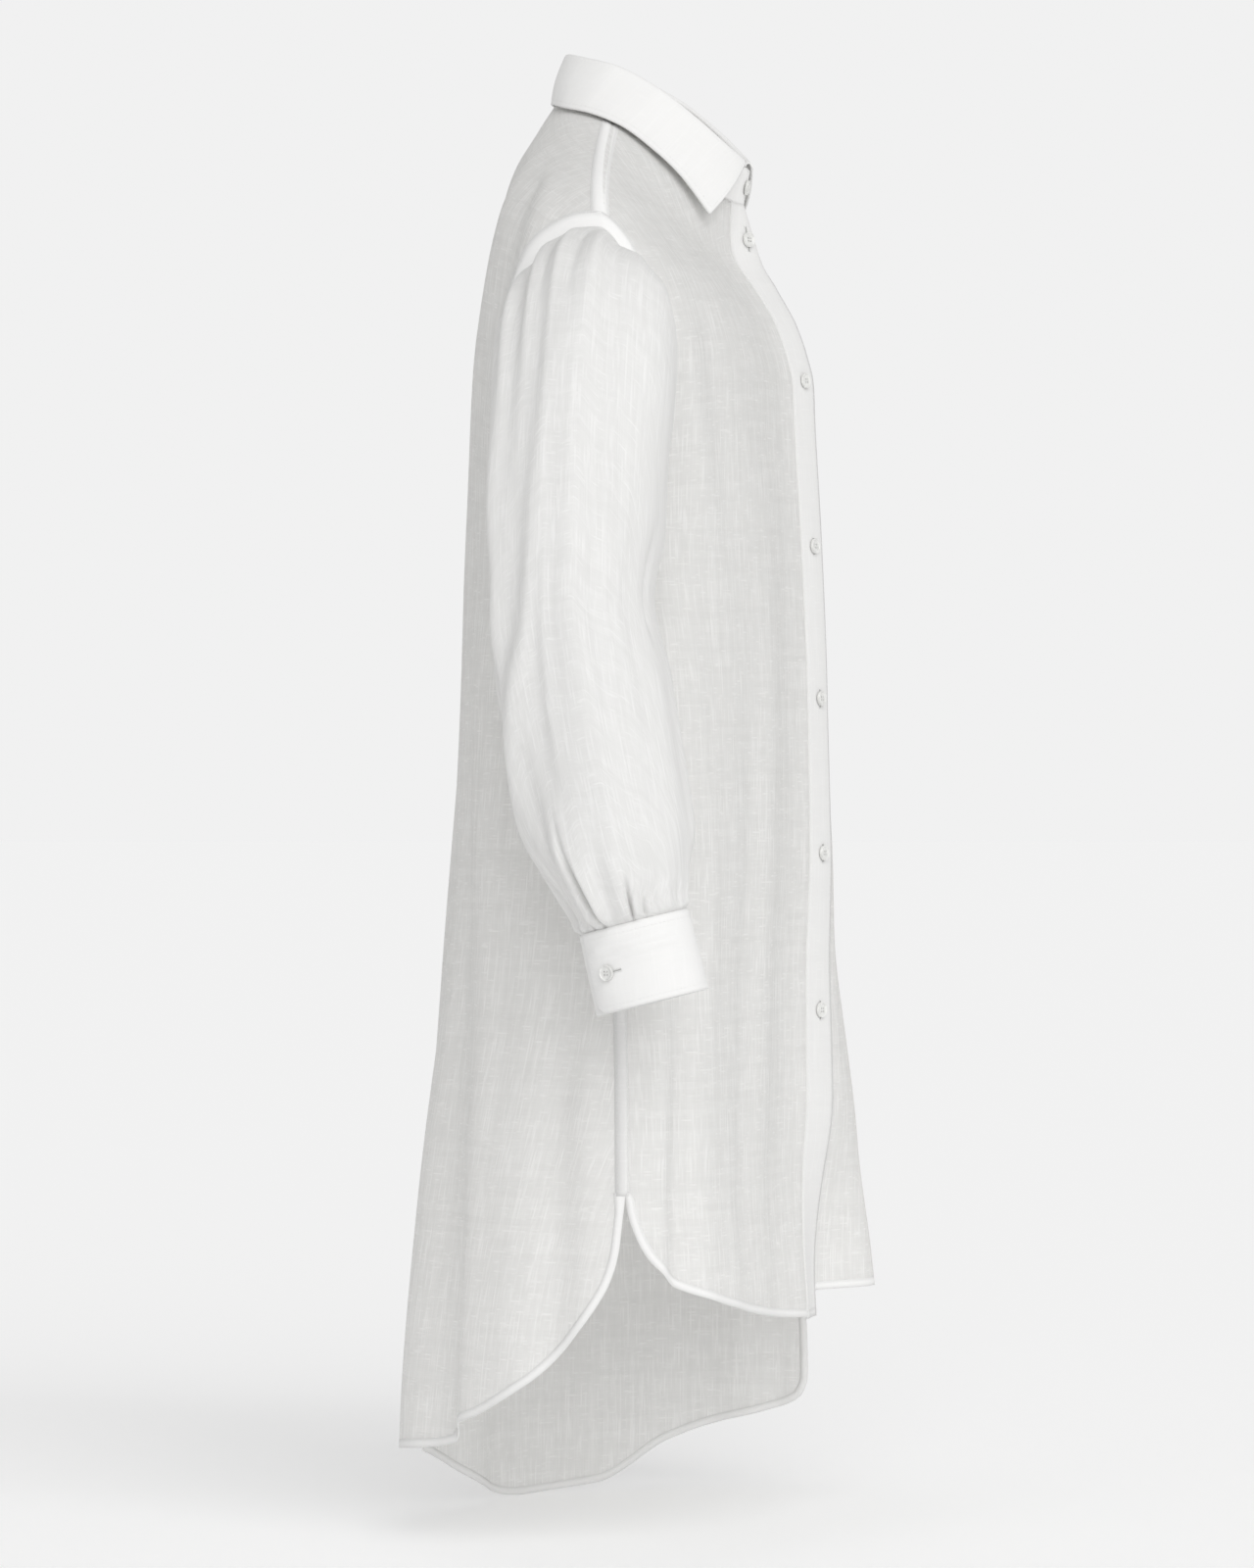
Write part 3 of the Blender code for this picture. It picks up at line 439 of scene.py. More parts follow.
def combine(tree, operation, first, second=0.0):
    """One or two values put through a sum, product or rounding down, or the larger of both."""
    made = node(tree, "ShaderNodeMath", operation=operation)
    for socket, value in zip(made.inputs, (first, second)):
        if isinstance(value, float):
            socket.default_value = value
        else:
            tree.links.new(value, socket)
    return made.outputs["Value"]


def shares_of(tree, *parts):
    """The sum of several values, each times its share."""
    scaled = [combine(tree, "MULTIPLY", value, share) for value, share in parts]
    total = scaled[0]
    for value in scaled[1:]:
        total = combine(tree, "ADD", total, value)
    return total


def thread_noise(tree, beside, along, spacing, slub, shift):
    """Noise along straight threads, each with its own: their spacing and how long a slub is."""
    number = combine(tree, "FLOOR", combine(tree, "MULTIPLY", beside, 1.0 / spacing))
    place = node(tree, "ShaderNodeCombineXYZ", Z=shift)
    tree.links.new(combine(tree, "MULTIPLY", number, THREADS_APART), place.inputs["X"])
    tree.links.new(combine(tree, "MULTIPLY", along, 1.0 / slub), place.inputs["Y"])
    noise = node(tree, "ShaderNodeTexNoise", Scale=1.0, Detail=1.0, Roughness=0.5)
    tree.links.new(place.outputs["Vector"], noise.inputs["Vector"])
    return noise.outputs["Fac"]


def ramp(tree, value, low, high, out_low=0.0, out_high=1.0):
    """The value stretched from one range to another and held there."""
    made = node(tree, "ShaderNodeMapRange")
    made.inputs["From Min"].default_value = low
    made.inputs["From Max"].default_value = high
    made.inputs["To Min"].default_value = out_low
    made.inputs["To Max"].default_value = out_high
    tree.links.new(value, made.inputs["Value"])
    return made.outputs["Result"]


def colour_between(tree, factor, first, second):
    """A colour that goes from the first to the second as the factor goes from 0 to 1."""
    mix = node(tree, "ShaderNodeMix", data_type="RGBA")
    tree.links.new(factor, mix.inputs["Factor"])
    sockets = [socket for socket in mix.inputs if socket.type == "RGBA"]
    for socket, colour in zip(sockets, (first, second)):
        socket.default_value = colour
    return [socket for socket in mix.outputs if socket.type == "RGBA"][0]


print("yarn helpers ready")

# %% [markdown]
# The band finish is a darker copy of the doubled one, with shade painted into its colour.
# The gauze mixes a plain white surface with a Translucent one, which shows light that comes
# through from behind, and a small Transparent share between the yarns. Thick yarns close the
# gaps, so they look whiter and stand up a little. The sleeves let less light through, as they lie
# over the body of the dress. The doubled finishes let none through.
#
# Each row of the yarn table is one set of threads: how far apart they lie, how long a slub is, a
# shift that keeps its noise its own, and the range of the noise that is stretched to 0 and 1.

# %% The cloth finishes
WARP_SLUBS = (0.0012, 0.030, 0.0, 0.52, 0.72)
WEFT_SLUBS = (0.0011, 0.012, 4.7, 0.60, 0.76)
FINE_WARP = (0.0006, 0.050, 9.2, 0.30, 0.70)
FINE_WEFT = (0.0007, 0.020, 14.1, 0.30, 0.70)
WIDE_WARP = (0.0042, 0.160, 21.0, 0.32, 0.68)
WIDE_WEFT = (0.0050, 0.060, 27.5, 0.32, 0.68)
SLUB_SHARE = 0.44
FINE_SHARE = 0.24
WIDE_SHARE = 0.32
THIN_COLOUR = (0.888, 0.885, 0.873, 1.0)
THICK_COLOUR = (1.0, 0.998, 0.990, 1.0)
GAUZE_GLOW = 0.43
GAUZE_GAPS = 0.08
SLEEVE_GLOW = 0.24
SLEEVE_GAPS = 0.03
GAUZE_BUMP = 0.00035
DOUBLED_BUMP = 0.00020
BAND_BUMP = 0.00025
DOUBLED_COLOUR = (0.868, 0.865, 0.856, 1.0)
DOUBLED_SHADE = (0.835, 0.832, 0.823, 1.0)
# The band colours are the doubled ones made darker, as painted shade.
BAND_PAINTED_SHADE_COLOUR = (0.825, 0.822, 0.813, 1.0)
BAND_PAINTED_SHADE_THIN = (0.770, 0.767, 0.758, 1.0)
FELLED_COLOUR = (0.930, 0.927, 0.918, 1.0)
FELLED_SHADE = (0.890, 0.887, 0.878, 1.0)


def yarn_pattern(tree):
    """How thick the yarns are, from 0 to 1: slubs both ways, fine yarns and wider stripes."""
    weave = node(tree, "ShaderNodeUVMap", uv_map="weave")
    parts = node(tree, "ShaderNodeSeparateXYZ")
    tree.links.new(weave.outputs["UV"], parts.inputs["Vector"])
    ways = ((parts.outputs["X"], parts.outputs["Y"]), (parts.outputs["Y"], parts.outputs["X"]))
    found = []
    for kinds in ((WARP_SLUBS, WEFT_SLUBS), (FINE_WARP, FINE_WEFT), (WIDE_WARP, WIDE_WEFT)):
        for (beside, along), (spacing, slub, shift, low, high) in zip(ways, kinds):
            noise = thread_noise(tree, beside, along, spacing, slub, shift)
            found.append(ramp(tree, noise, low, high))
    slubs = combine(tree, "MAXIMUM", found[0], found[1])
    fine = shares_of(tree, (found[2], 0.6), (found[3], 0.4))
    wide = shares_of(tree, (found[4], 0.55), (found[5], 0.45))
    return shares_of(tree, (slubs, SLUB_SHARE), (fine, FINE_SHARE), (wide, WIDE_SHARE))


def cloth_finish(name, thin, thick, glow, gaps, bump):
    """A woven white finish. Glow is its Translucent share and gaps its share of open weave."""
    made, tree, plain = material(name, {"Roughness": 0.92, "Specular IOR Level": 0.18,
                                        "Sheen Weight": 0.12, "Sheen Roughness": 0.6})
    yarns = yarn_pattern(tree)
    mixed = colour_between(tree, yarns, thin, thick)
    tree.links.new(mixed, plain.inputs["Base Color"])
    relief = node(tree, "ShaderNodeBump", Strength=0.4, Distance=bump)
    tree.links.new(yarns, relief.inputs["Height"])
    tree.links.new(relief.outputs["Normal"], plain.inputs["Normal"])
    surface = plain.outputs["BSDF"]
    if glow:
        through = node(tree, "ShaderNodeBsdfTranslucent")
        tree.links.new(mixed, through.inputs["Color"])
        tree.links.new(relief.outputs["Normal"], through.inputs["Normal"])
        glowing = node(tree, "ShaderNodeMixShader", Fac=glow)
        tree.links.new(surface, glowing.inputs[1])
        tree.links.new(through.outputs["BSDF"], glowing.inputs[2])
        surface = glowing.outputs["Shader"]
    if gaps:
        clear = node(tree, "ShaderNodeBsdfTransparent")
        open_share = ramp(tree, yarns, 0.10, 0.70, gaps, 0.0)
        holed = node(tree, "ShaderNodeMixShader")
        tree.links.new(open_share, holed.inputs["Fac"])
        tree.links.new(surface, holed.inputs[1])
        tree.links.new(clear.outputs["BSDF"], holed.inputs[2])
        surface = holed.outputs["Shader"]
    tree.links.new(surface, tree.nodes["Material Output"].inputs["Surface"])
    return made


gauze = cloth_finish("slub_gauze", THIN_COLOUR, THICK_COLOUR, GAUZE_GLOW, GAUZE_GAPS, GAUZE_BUMP)
sleeve_gauze = cloth_finish("sleeve_gauze", THIN_COLOUR, THICK_COLOUR, SLEEVE_GLOW, SLEEVE_GAPS,
                            GAUZE_BUMP)
doubled = cloth_finish("doubled_gauze", DOUBLED_SHADE, DOUBLED_COLOUR, 0.0, 0.0, DOUBLED_BUMP)
# The folded finish of the bands carries painted shade: its colours are darker than the doubled
# ones.
folded = cloth_finish("band_gauze_painted_shade", BAND_PAINTED_SHADE_THIN, BAND_PAINTED_SHADE_COLOUR, 0.0, 0.0, BAND_BUMP)
felled = cloth_finish("felled_gauze", FELLED_SHADE, FELLED_COLOUR, 0.0, 0.0, DOUBLED_BUMP)
print("finishes:", [made.name for made in (gauze, sleeve_gauze, doubled, folded, felled)])

# %% [markdown]
# ## A sheet from a grid of points
#
# Every cloth piece is a grid of points with a UV map in metres. A Solidify modifier then gives it
# the thickness of the cloth. Solidify works on the finished form, so both faces stay parallel.

# %% Sheet maker
PIECES = {}


def grid_faces(rows, columns, ring):
    """The cells of a grid as point numbers, and as (row, column) corners for the UV map."""
    spans = columns if ring else columns - 1
    row, column = np.meshgrid(np.arange(rows - 1), np.arange(spans), indexing="ij")
    row, column = row.ravel(), column.ravel()
    after = (column + 1) % columns
    corners = np.stack((row * columns + column, row * columns + after,
                        (row + 1) * columns + after, (row + 1) * columns + column), axis=-1)
    uv_rows = np.stack((row, row, row + 1, row + 1), axis=-1)
    uv_columns = np.stack((column, column + 1, column + 1, column), axis=-1)
    return corners, uv_rows, uv_columns


def cloth_piece(name, points, weave, thick, finish, ring=False):
    """A sheet through a grid of points, with its weave in metres, thickened evenly."""
    rows, columns = points.shape[:2]
    corners, uv_rows, uv_columns = grid_faces(rows, columns, ring)
    mesh = bpy.data.meshes.new(name)
    mesh.from_pydata(points.reshape(-1, 3).tolist(), [], corners.tolist())
    layer = mesh.uv_layers.new(name="weave")
    layer.data.foreach_set("uv", weave[uv_rows, uv_columns].reshape(-1))
    mesh.polygons.foreach_set("use_smooth", np.ones(len(corners), bool))
    mesh.materials.append(finish)
    piece = in_scene(name, mesh)
    wall = piece.modifiers.new("cloth_thickness", "SOLIDIFY")
    wall.thickness = thick
    wall.offset = 0.0
    bpy.context.view_layer.objects.active = piece
    bpy.ops.object.modifier_apply(modifier=wall.name)
    PIECES[name] = piece


def lengths_along(points, axis, flat=False):
    """Running length along the rows or columns of a grid. Flat leaves out the height."""
    step = np.diff(points, axis=axis)
    step = np.linalg.norm(step[..., :2] if flat else step, axis=-1)
    start = np.zeros_like(np.take(step, [0], axis=axis))
    return np.concatenate((start, np.cumsum(step, axis=axis)), axis=axis)


def plain_weave(points):
    """A UV map in metres for a piece whose rows and columns follow its yarns."""
    return np.stack((lengths_along(points, 1), lengths_along(points, 0)), axis=-1)


print("sheet maker ready")

# %% [markdown]
# ## Fronts and back
#
# The fronts and the back are cut from the shoulder to the hem, with a scooped armhole at the
# side. Their side seams stop at a slit, and below it each hem curves away like a shirt tail.
# The hem tables give its height by the angle round the body.

# %% Edges of the body pieces
ARMHOLE_TOP = -0.089
ARMHOLE_LOW = -0.310
ARMHOLE_FRONT = 0.040
ARMHOLE_BACK = 0.072
NECK_LEVEL = 0.005
SLIT_LEVEL = -0.760
BAND_WIDTH = 0.030
BAND_UNDER = 0.0021
BAND_RECOVER = 0.020
PANEL_UNDER_BAND = 0.003
GAUZE_THICK = 0.0007
DOUBLED_THICK = 0.0014

HEM_NAMES = ("angle", "height")
RIGHT_HEM = table(((0, -0.9025), (15, -0.897), (30, -0.889), (45, -0.8785), (60, -0.8655),
                   (65, -0.860), (70, -0.8530), (75, -0.8450), (80, -0.835), (85, -0.8215),
                   (88, -0.8105), (90, -0.795)), HEM_NAMES)
BACK_HEM = table(((90, -0.795), (90.8, -0.818), (91.5, -0.8375), (93, -0.857), (95, -0.872),
                  (100, -0.898), (105, -0.918), (110, -0.935), (120, -0.958), (130.5, -0.975),
                  (132.5, -0.984), (147, -0.994), (165, -1.004), (180, -1.020), (195, -1.046),
                  (210, -1.061), (225, -1.055), (240, -1.024), (250, -1.010), (260, -1.000),
                  (266, -0.991), (268.5, -0.976), (270, -0.835)), HEM_NAMES)
LEFT_HEM = table(((0, -0.8835), (45, -0.882), (60, -0.876), (70, -0.870), (80, -0.861),
                  (85, -0.852), (88, -0.843), (90, -0.835)), HEM_NAMES)


def armhole_angle(level, turn, opening, front):
    """How far from centre front (or centre back) the armhole edge lies, in degrees."""
    depth = ring_depths(level)[0 if front else 1]
    power = body_column("square", level)
    share = opening * np.sin(np.radians(turn)) / depth
    return np.degrees(np.arctan2((1 - share**power) ** (1 / power), share))


def band_angle(level, offset):
    """The angle at which the front lies this far to the side of centre front, in degrees."""
    return np.degrees(np.arctan(offset / body_column("half_width", level)))


print("slit starts at", SLIT_LEVEL)

# %% [markdown]
# The rows of a body piece run level round the body above the slit, and below it they fan out to
# follow the hem. Beside the armhole the columns are pulled in, those near the edge most.

# %% Grid of a body piece
LOW_ROWS = 34
WAIST_ROWS = 62
ARMHOLE_ROWS = 44
SHOULDER_ROWS = 24
FRONT_COLUMNS = 76
BACK_COLUMNS = 152


def eased_steps(count, gather=0.55):
    """Fractions from 0 to 1 that lie closer together at both ends."""
    even = np.linspace(0.0, 1.0, count + 1)
    return even - gather * np.sin(2 * math.pi * even) / (2 * math.pi)


def upper_levels():
    """The levels of the rows above the slits, and the armhole turn of each (or none)."""
    waist = np.linspace(SLIT_LEVEL, ARMHOLE_LOW, WAIST_ROWS + 1)[:-1]
    turns = np.linspace(180.0, 0.0, ARMHOLE_ROWS + 1)
    middle = (ARMHOLE_TOP + ARMHOLE_LOW) / 2
    armhole = middle + (ARMHOLE_TOP - ARMHOLE_LOW) / 2 * np.cos(np.radians(turns))
    shoulder = np.linspace(ARMHOLE_TOP, NECK_LEVEL, SHOULDER_ROWS + 1)[1:]
    levels = np.concatenate((waist, armhole, shoulder))
    open_turns = np.zeros_like(levels)
    open_turns[WAIST_ROWS:WAIST_ROWS + ARMHOLE_ROWS + 1] = turns
    return levels, open_turns


def panel_grid(inner, outer, pulled, weights, hem, mirror):
    """Angles and levels of a body piece between two edges, with its hem and armhole cut out."""
    share = eased_steps(len(weights) - 1)
    levels, _ = upper_levels()
    low_angles = inner[0] + (outer[0] - inner[0]) * share
    hem_levels = smooth(low_angles, hem["angle"], hem["height"])
    down = np.linspace(0.0, 1.0, LOW_ROWS + 1)[:-1, None]
    low_levels = hem_levels[None, :] + (SLIT_LEVEL - hem_levels[None, :]) * down
    low = np.repeat(low_angles[None, :], LOW_ROWS, axis=0)
    up = inner[:, None] + (outer - inner)[:, None] * share - pulled[:, None] * weights
    angles = np.concatenate((low, up))
    levels = np.concatenate((low_levels, np.repeat(levels[:, None], len(share), axis=1)))
    return (-angles if mirror else angles), levels


def body_weave(points, middle):
    """A UV map in metres: across from the middle column, and up from the level of the slits."""
    across = lengths_along(points, 1, flat=True)
    across = across - across[:, middle:middle + 1]
    up = lengths_along(points, 0)
    up = up - up[LOW_ROWS:LOW_ROWS + 1]
    up[:LOW_ROWS] = points[:LOW_ROWS, :, 2] - SLIT_LEVEL
    return np.stack((across, up), axis=-1)


def pulled_in(levels, turns, opening, front):
    """How far the edge of a piece is cut back from the side at the armhole, in degrees."""
    beside = (turns > 0) & (turns < 180)
    cut_back = 90.0 - armhole_angle(levels, turns, opening, front)
    return np.where(beside, np.maximum(cut_back, 0.0), 0.0)


def front_grid(left):
    """Angles and levels of a front, from its band edge to its side seam."""
    levels, turns = upper_levels()
    inner = band_angle(levels, BAND_WIDTH / 2 - PANEL_UNDER_BAND)
    pulled = pulled_in(levels, turns, ARMHOLE_FRONT, True)
    weights = eased_steps(FRONT_COLUMNS) ** 2
    hem = LEFT_HEM if left else RIGHT_HEM
    return panel_grid(inner, np.full_like(levels, 90.0), pulled, weights, hem, left)


def back_grid():
    """Angles and levels of the back, from the right side over centre back to the left."""
    levels, turns = upper_levels()
    inner = np.full_like(levels, 90.0)
    pulled = pulled_in(levels, turns, ARMHOLE_BACK, False)
    across = 2 * eased_steps(BACK_COLUMNS) - 1
    return panel_grid(inner, 360.0 - inner, pulled, across * np.abs(across), BACK_HEM, False)


print("rows of a body piece:", LOW_ROWS + len(upper_levels()[0]))

# %% [markdown]
# The left front runs under the right band, so it is pushed in a little there and comes back out
# beside the band. That is what makes the right front lap over the left.

# %% Fronts and back
def under_band(angle, level):
    """How far the left front lies under the right band at an angle and a level."""
    aside = body_column("half_width", level) * np.tan(np.radians(np.clip(-angle, 0, 60)))
    return BAND_UNDER * (1 - ease((aside - BAND_WIDTH / 2) / BAND_RECOVER))


def front_cloth(angle, level, left):
    """Points of a front, with the left one pushed in under the band."""
    points = body(angle, level)
    if left:
        points = points - body_normals(angle, level) * under_band(angle, level)[..., None]
    return points


for side, left in (("right", False), ("left", True)):
    angles, levels = front_grid(left)
    points = front_cloth(angles, levels, left)
    cloth_piece("gauze_front_" + side, points, body_weave(points, 0), GAUZE_THICK, gauze)
angles, levels = back_grid()
points = body(angles, levels)
cloth_piece("gauze_back", points, body_weave(points, BACK_COLUMNS // 2), GAUZE_THICK, gauze)
print("back cells:", len(PIECES["gauze_back"].data.polygons))

# %% [markdown]
# ## Strips of doubled cloth: bands, seams and hems
#
# The hem is turned up twice, and the shoulder, side and armhole seams are felled flat. Each shows
# as a narrow whiter strip, because there the gauze lies in several layers. A strip follows the
# same surface as the cloth and is a little thicker, so it shows on both faces.

# %% Strip along the body
SEAM_STRIP = 0.010
SHOULDER_STRIP = 0.014
HEM_STRIP = 0.006
HEM_OVERHANG = 0.0003
HEM_SPACING = 0.003
STRIP_THICK = 0.0011


def moved_across(angles, levels, distance, side=1):
    """The same line, moved this far across the cloth, to the left of the way it runs."""
    scale = metres_per_degree(side * angles, levels)
    run = np.gradient(angles) * scale
    rise = np.gradient(levels)
    size = np.hypot(run, rise)
    return angles - distance * rise / size / scale, levels + distance * run / size


def body_strip(name, angles, levels, distances, side=1, left_front=False, finish=felled):
    """A strip of doubled cloth along a line over the body, through these distances from it."""
    lines = [moved_across(angles, levels, distance, side) for distance in distances]
    grid_angles = side * np.stack([line[0] for line in lines])
    grid_levels = np.stack([line[1] for line in lines])
    points = front_cloth(grid_angles, grid_levels, left_front)
    cloth_piece(name, points, plain_weave(points), STRIP_THICK, finish)


def hem_line(hem, start, end):
    """The hem of a piece with its slit edges, as angles and levels an even distance apart."""
    angles = np.linspace(start, end, 1600)
    levels = smooth(angles, hem["angle"], hem["height"])
    run = lengths_along(body(angles, levels)[None], 1)[0]
    stops = np.linspace(0.0, run[-1], max(3, int(run[-1] / HEM_SPACING)))
    return np.interp(stops, run, angles), np.interp(stops, run, levels)


inner_edge = float(band_angle(np.array(SLIT_LEVEL), BAND_WIDTH / 2 - PANEL_UNDER_BAND))
HEM_ACROSS = (-HEM_OVERHANG, HEM_STRIP * 0.5, HEM_STRIP)
HEMS = {
    "right_front": (*hem_line(RIGHT_HEM, inner_edge, 90.0), 1, False),
    "left_front": (*hem_line(LEFT_HEM, inner_edge, 90.0), -1, True),
    "back": (*hem_line(BACK_HEM, 90.0, 270.0), 1, False),
}
for name, (angles, levels, side, left_front) in HEMS.items():
    body_strip("hem_" + name, angles, levels, HEM_ACROSS, side, left_front, doubled)
back_hem_run = lengths_along(body(*HEMS["back"][:2])[None], 1)[0, -1]
print("hem round the back, metres:", round(float(back_hem_run), 3))

# %% [markdown]
# The side seam runs from the slit to the armhole and the shoulder seam from the armhole to the
# neck. The armhole seam goes all the way round, and it also covers the edge of the sleeve. The
# side seam takes the band finish, with its painted shade, so it is greyer than the other two.

# %% Seam strips
SEAM_PAST_SLIT = 0.002
SHOULDER_INSET = 0.009
ARMHOLE_INSETS = (0.0018, 0.0, -0.0055, -0.0110)


def armhole_point(turns, inset, side):
    """The armhole edge moved this far into the hole, or onto the body where it is negative."""
    turns = np.asarray(turns, dtype=float) % 360.0
    front = turns <= 180.0
    half_turn = np.where(front, turns, 360.0 - turns)
    middle = (ARMHOLE_TOP + ARMHOLE_LOW) / 2
    level = middle + ((ARMHOLE_TOP - ARMHOLE_LOW) / 2 - inset) * np.cos(np.radians(half_turn))
    hole_front = armhole_angle(level, half_turn, ARMHOLE_FRONT - inset, True)
    hole_back = 180.0 - armhole_angle(level, half_turn, ARMHOLE_BACK - inset, False)
    return body(-side * np.where(front, hole_front, hole_back), level)


SEAM_ACROSS = (-SEAM_STRIP / 2, 0.0, SEAM_STRIP / 2)
SHOULDER_ACROSS = (-SHOULDER_STRIP / 2, 0.0, SHOULDER_STRIP / 2)
SEAMS = (("right", 1, RIGHT_HEM["height"][-1]), ("left", -1, LEFT_HEM["height"][-1]))
for name, side, slit_top in SEAMS:
    down = np.linspace(slit_top - SEAM_PAST_SLIT, ARMHOLE_LOW, 110)
    # The side seam takes the band finish, with its painted shade.
    body_strip("side_seam_" + name, np.full_like(down, 90.0), down, SEAM_ACROSS, side,
               finish=folded)
    down = np.linspace(ARMHOLE_TOP + SHOULDER_INSET, NECK_LEVEL, 40)
    body_strip("shoulder_seam_" + name, np.full_like(down, 90.0), down, SHOULDER_ACROSS, side)
    turns = np.linspace(0.0, 360.0, 181)[:-1]
    points = np.stack([armhole_point(turns, inset, -side) for inset in ARMHOLE_INSETS])
    loop = np.concatenate((points, points[:, :1]), axis=1)
    cloth_piece("armhole_seam_" + name, points, plain_weave(loop), STRIP_THICK, felled, ring=True)
print("pieces so far:", len(PIECES))

# %% [markdown]
# The right band is the outer one with the buttonholes, and the left band lies under it and
# carries the buttons. Each is a folded strip sewn along the edge of its front.

# %% Front bands
BAND_OUT = 0.0003
BAND_HEM_EXTRA = 0.0006
BAND_COLUMNS = 9


def band_points(offset, level, under):
    """Points of a band, this far aside of its middle. The under band lies behind the outer one."""
    angle = band_angle(np.maximum(level, SLIT_LEVEL), offset)
    lift = -BAND_UNDER if under else BAND_OUT
    return body(angle, level) + body_normals(angle, level) * lift


for name, hem, under in (("right", RIGHT_HEM, False), ("left", LEFT_HEM, True)):
    lowest = hem["height"][0]
    down = np.concatenate((np.linspace(lowest, ARMHOLE_TOP, 190),
                           np.linspace(ARMHOLE_TOP, NECK_LEVEL, 36)[1:]))
    aside, down = np.meshgrid(np.linspace(1.0, -1.0, BAND_COLUMNS) * BAND_WIDTH / 2, down)
    points = band_points(aside, down, under)
    # The band takes the finish with painted shade.
    cloth_piece("front_band_" + name, points, plain_weave(points), DOUBLED_THICK, folded)
    edge = np.linspace(-BAND_WIDTH / 2, BAND_WIDTH / 2, BAND_COLUMNS)
    aside, down = np.meshgrid(edge, lowest + np.array((-HEM_OVERHANG, HEM_STRIP)))
    points = band_points(aside, down, under)
    # Its hem takes the same painted shade.
    cloth_piece("band_hem_" + name, points, plain_weave(points), DOUBLED_THICK + BAND_HEM_EXTRA,
                folded)
print("band width:", BAND_WIDTH)

# %% [markdown]
# ## Sleeves
#
# The sleeves are full. Their heads are eased into the armholes with many small gathers, and at
# the wrist the fullness is laid in pleats and gathers under the cuff. The sleeve table gives
# rings along the arm: where the ring is, how it leans and how wide it is.
#
# The folds have the same columns as those of the body, with the turn round the arm for the angle
# and the share of the way from shoulder to wrist for the height. TO_CUFF stands for a fold that is
# still full at the cuff.

# %% Rings and folds of a sleeve
TO_CUFF = (1.20, 1.30)
SLEEVE_NAMES = ("along", "out", "y", "z", "tilt", "lean", "half_out", "half_fore")
SLEEVE = (
    (0.00, 0.2265, 0.010, -0.1995, 86.0, 0.0, 0.1095, 0.0480),
    (0.08, 0.2526, 0.004, -0.2050, 77.9, 0.0, 0.1095, 0.0620),
    (0.16, 0.2746, 0.002, -0.2218, 66.6, 0.0, 0.1048, 0.0645),
    (0.26, 0.2949, 0.002, -0.2573, 49.5, 0.0, 0.0891, 0.0635),
    (0.38, 0.3040, 0.003, -0.3070, 25.1, 0.0, 0.0706, 0.0620),
    (0.50, 0.3079, 0.004, -0.3638, 7.4, 2.0, 0.0644, 0.0550),
    (0.62, 0.315, -0.005, -0.4300, 0.0, 7.0, 0.0620, 0.0610),
    (0.80, 0.319, -0.0265, -0.5330, -1.0, 11.0, 0.0570, 0.0570),
    (0.88, 0.320, -0.0360, -0.5680, -1.0, 13.0, 0.0480, 0.0465),
    (0.95, 0.320, -0.0415, -0.5880, -1.0, 14.0, 0.0380, 0.0410),
    (1.00, 0.320, -0.0435, -0.5970, 0.0, 14.2, 0.0300, 0.0400),
)
LEFT_HANGS_BACK = 0.012
LARGE_SLEEVE_FOLDS = (
    (50.0, 58.0, 20.0, 0.02, 0.11, 0.20, 0.42, 0.0155),
    (-20.0, -78.0, 13.0, 0.16, 0.32, 0.76, 0.93, 0.0045),
    (8.0, -34.0, 12.0, 0.22, 0.50, 0.66, 0.82, -0.0045),
    (30.0, 10.0, 14.0, 0.40, 0.60, 0.80, 0.93, 0.0035),
    (70.0, 64.0, 13.0, 0.30, 0.52, 0.70, 0.93, 0.0035),
    (118.0, 112.0, 13.0, 0.20, 0.40, 0.80, 0.94, 0.0050),
    (160.0, 168.0, 14.0, 0.24, 0.50, 0.76, 0.93, -0.0050),
    (212.0, 226.0, 14.0, 0.18, 0.42, 0.78, 0.94, 0.0055),
    (-30.0, -38.0, 6.5, 0.72, 0.86, 0.93, 1.00, 0.0060),
    (-14.0, -19.0, 5.5, 0.74, 0.87, 0.93, 1.00, 0.0050),
    (6.0, 2.0, 6.0, 0.80, 0.88, 0.94, 1.00, 0.0040),
    (-62.0, -66.0, 7.0, 0.74, 0.86, 0.93, 1.00, -0.0045),
)
HEAD_GATHERS = (
    (-50.0, -62.0, 6.0, 0.05, 0.20, 0.50, 0.70, 0.0030),
    (-30.0, -44.0, 5.0, 0.05, 0.16, 0.30, 0.46, -0.0030),
    (12.0, 4.0, 7.0, 0.04, 0.16, 0.34, 0.50, 0.0030),
    (34.0, 30.0, 8.0, 0.05, 0.18, 0.30, 0.50, -0.0030),
    (-74.0, -70.0, 3.0, 0.01, 0.08, 0.11, 0.26, 0.0029),
    (-62.0, -60.0, 2.6, 0.01, 0.09, 0.12, 0.32, 0.0042),
    (-54.0, -55.0, 2.2, 0.01, 0.08, 0.10, 0.24, -0.0032),
    (-46.0, -48.0, 2.6, 0.01, 0.09, 0.13, 0.36, 0.0045),
    (-37.0, -40.0, 2.4, 0.01, 0.07, 0.10, 0.22, -0.0029),
    (-28.0, -31.0, 2.8, 0.01, 0.09, 0.12, 0.30, 0.0042),
    (-19.0, -21.0, 2.2, 0.01, 0.08, 0.10, 0.24, -0.0026),
    (-9.0, -12.0, 2.8, 0.01, 0.09, 0.13, 0.34, 0.0038),
    (2.0, 0.0, 2.4, 0.01, 0.08, 0.10, 0.26, -0.0029),
    (13.0, 12.0, 2.8, 0.01, 0.09, 0.12, 0.30, 0.0035),
    (25.0, 24.0, 2.6, 0.01, 0.08, 0.10, 0.22, -0.0022),
    (37.0, 36.0, 3.2, 0.01, 0.09, 0.12, 0.28, 0.0029),
    (52.0, 51.0, 3.6, 0.01, 0.09, 0.12, 0.24, 0.0019),
)
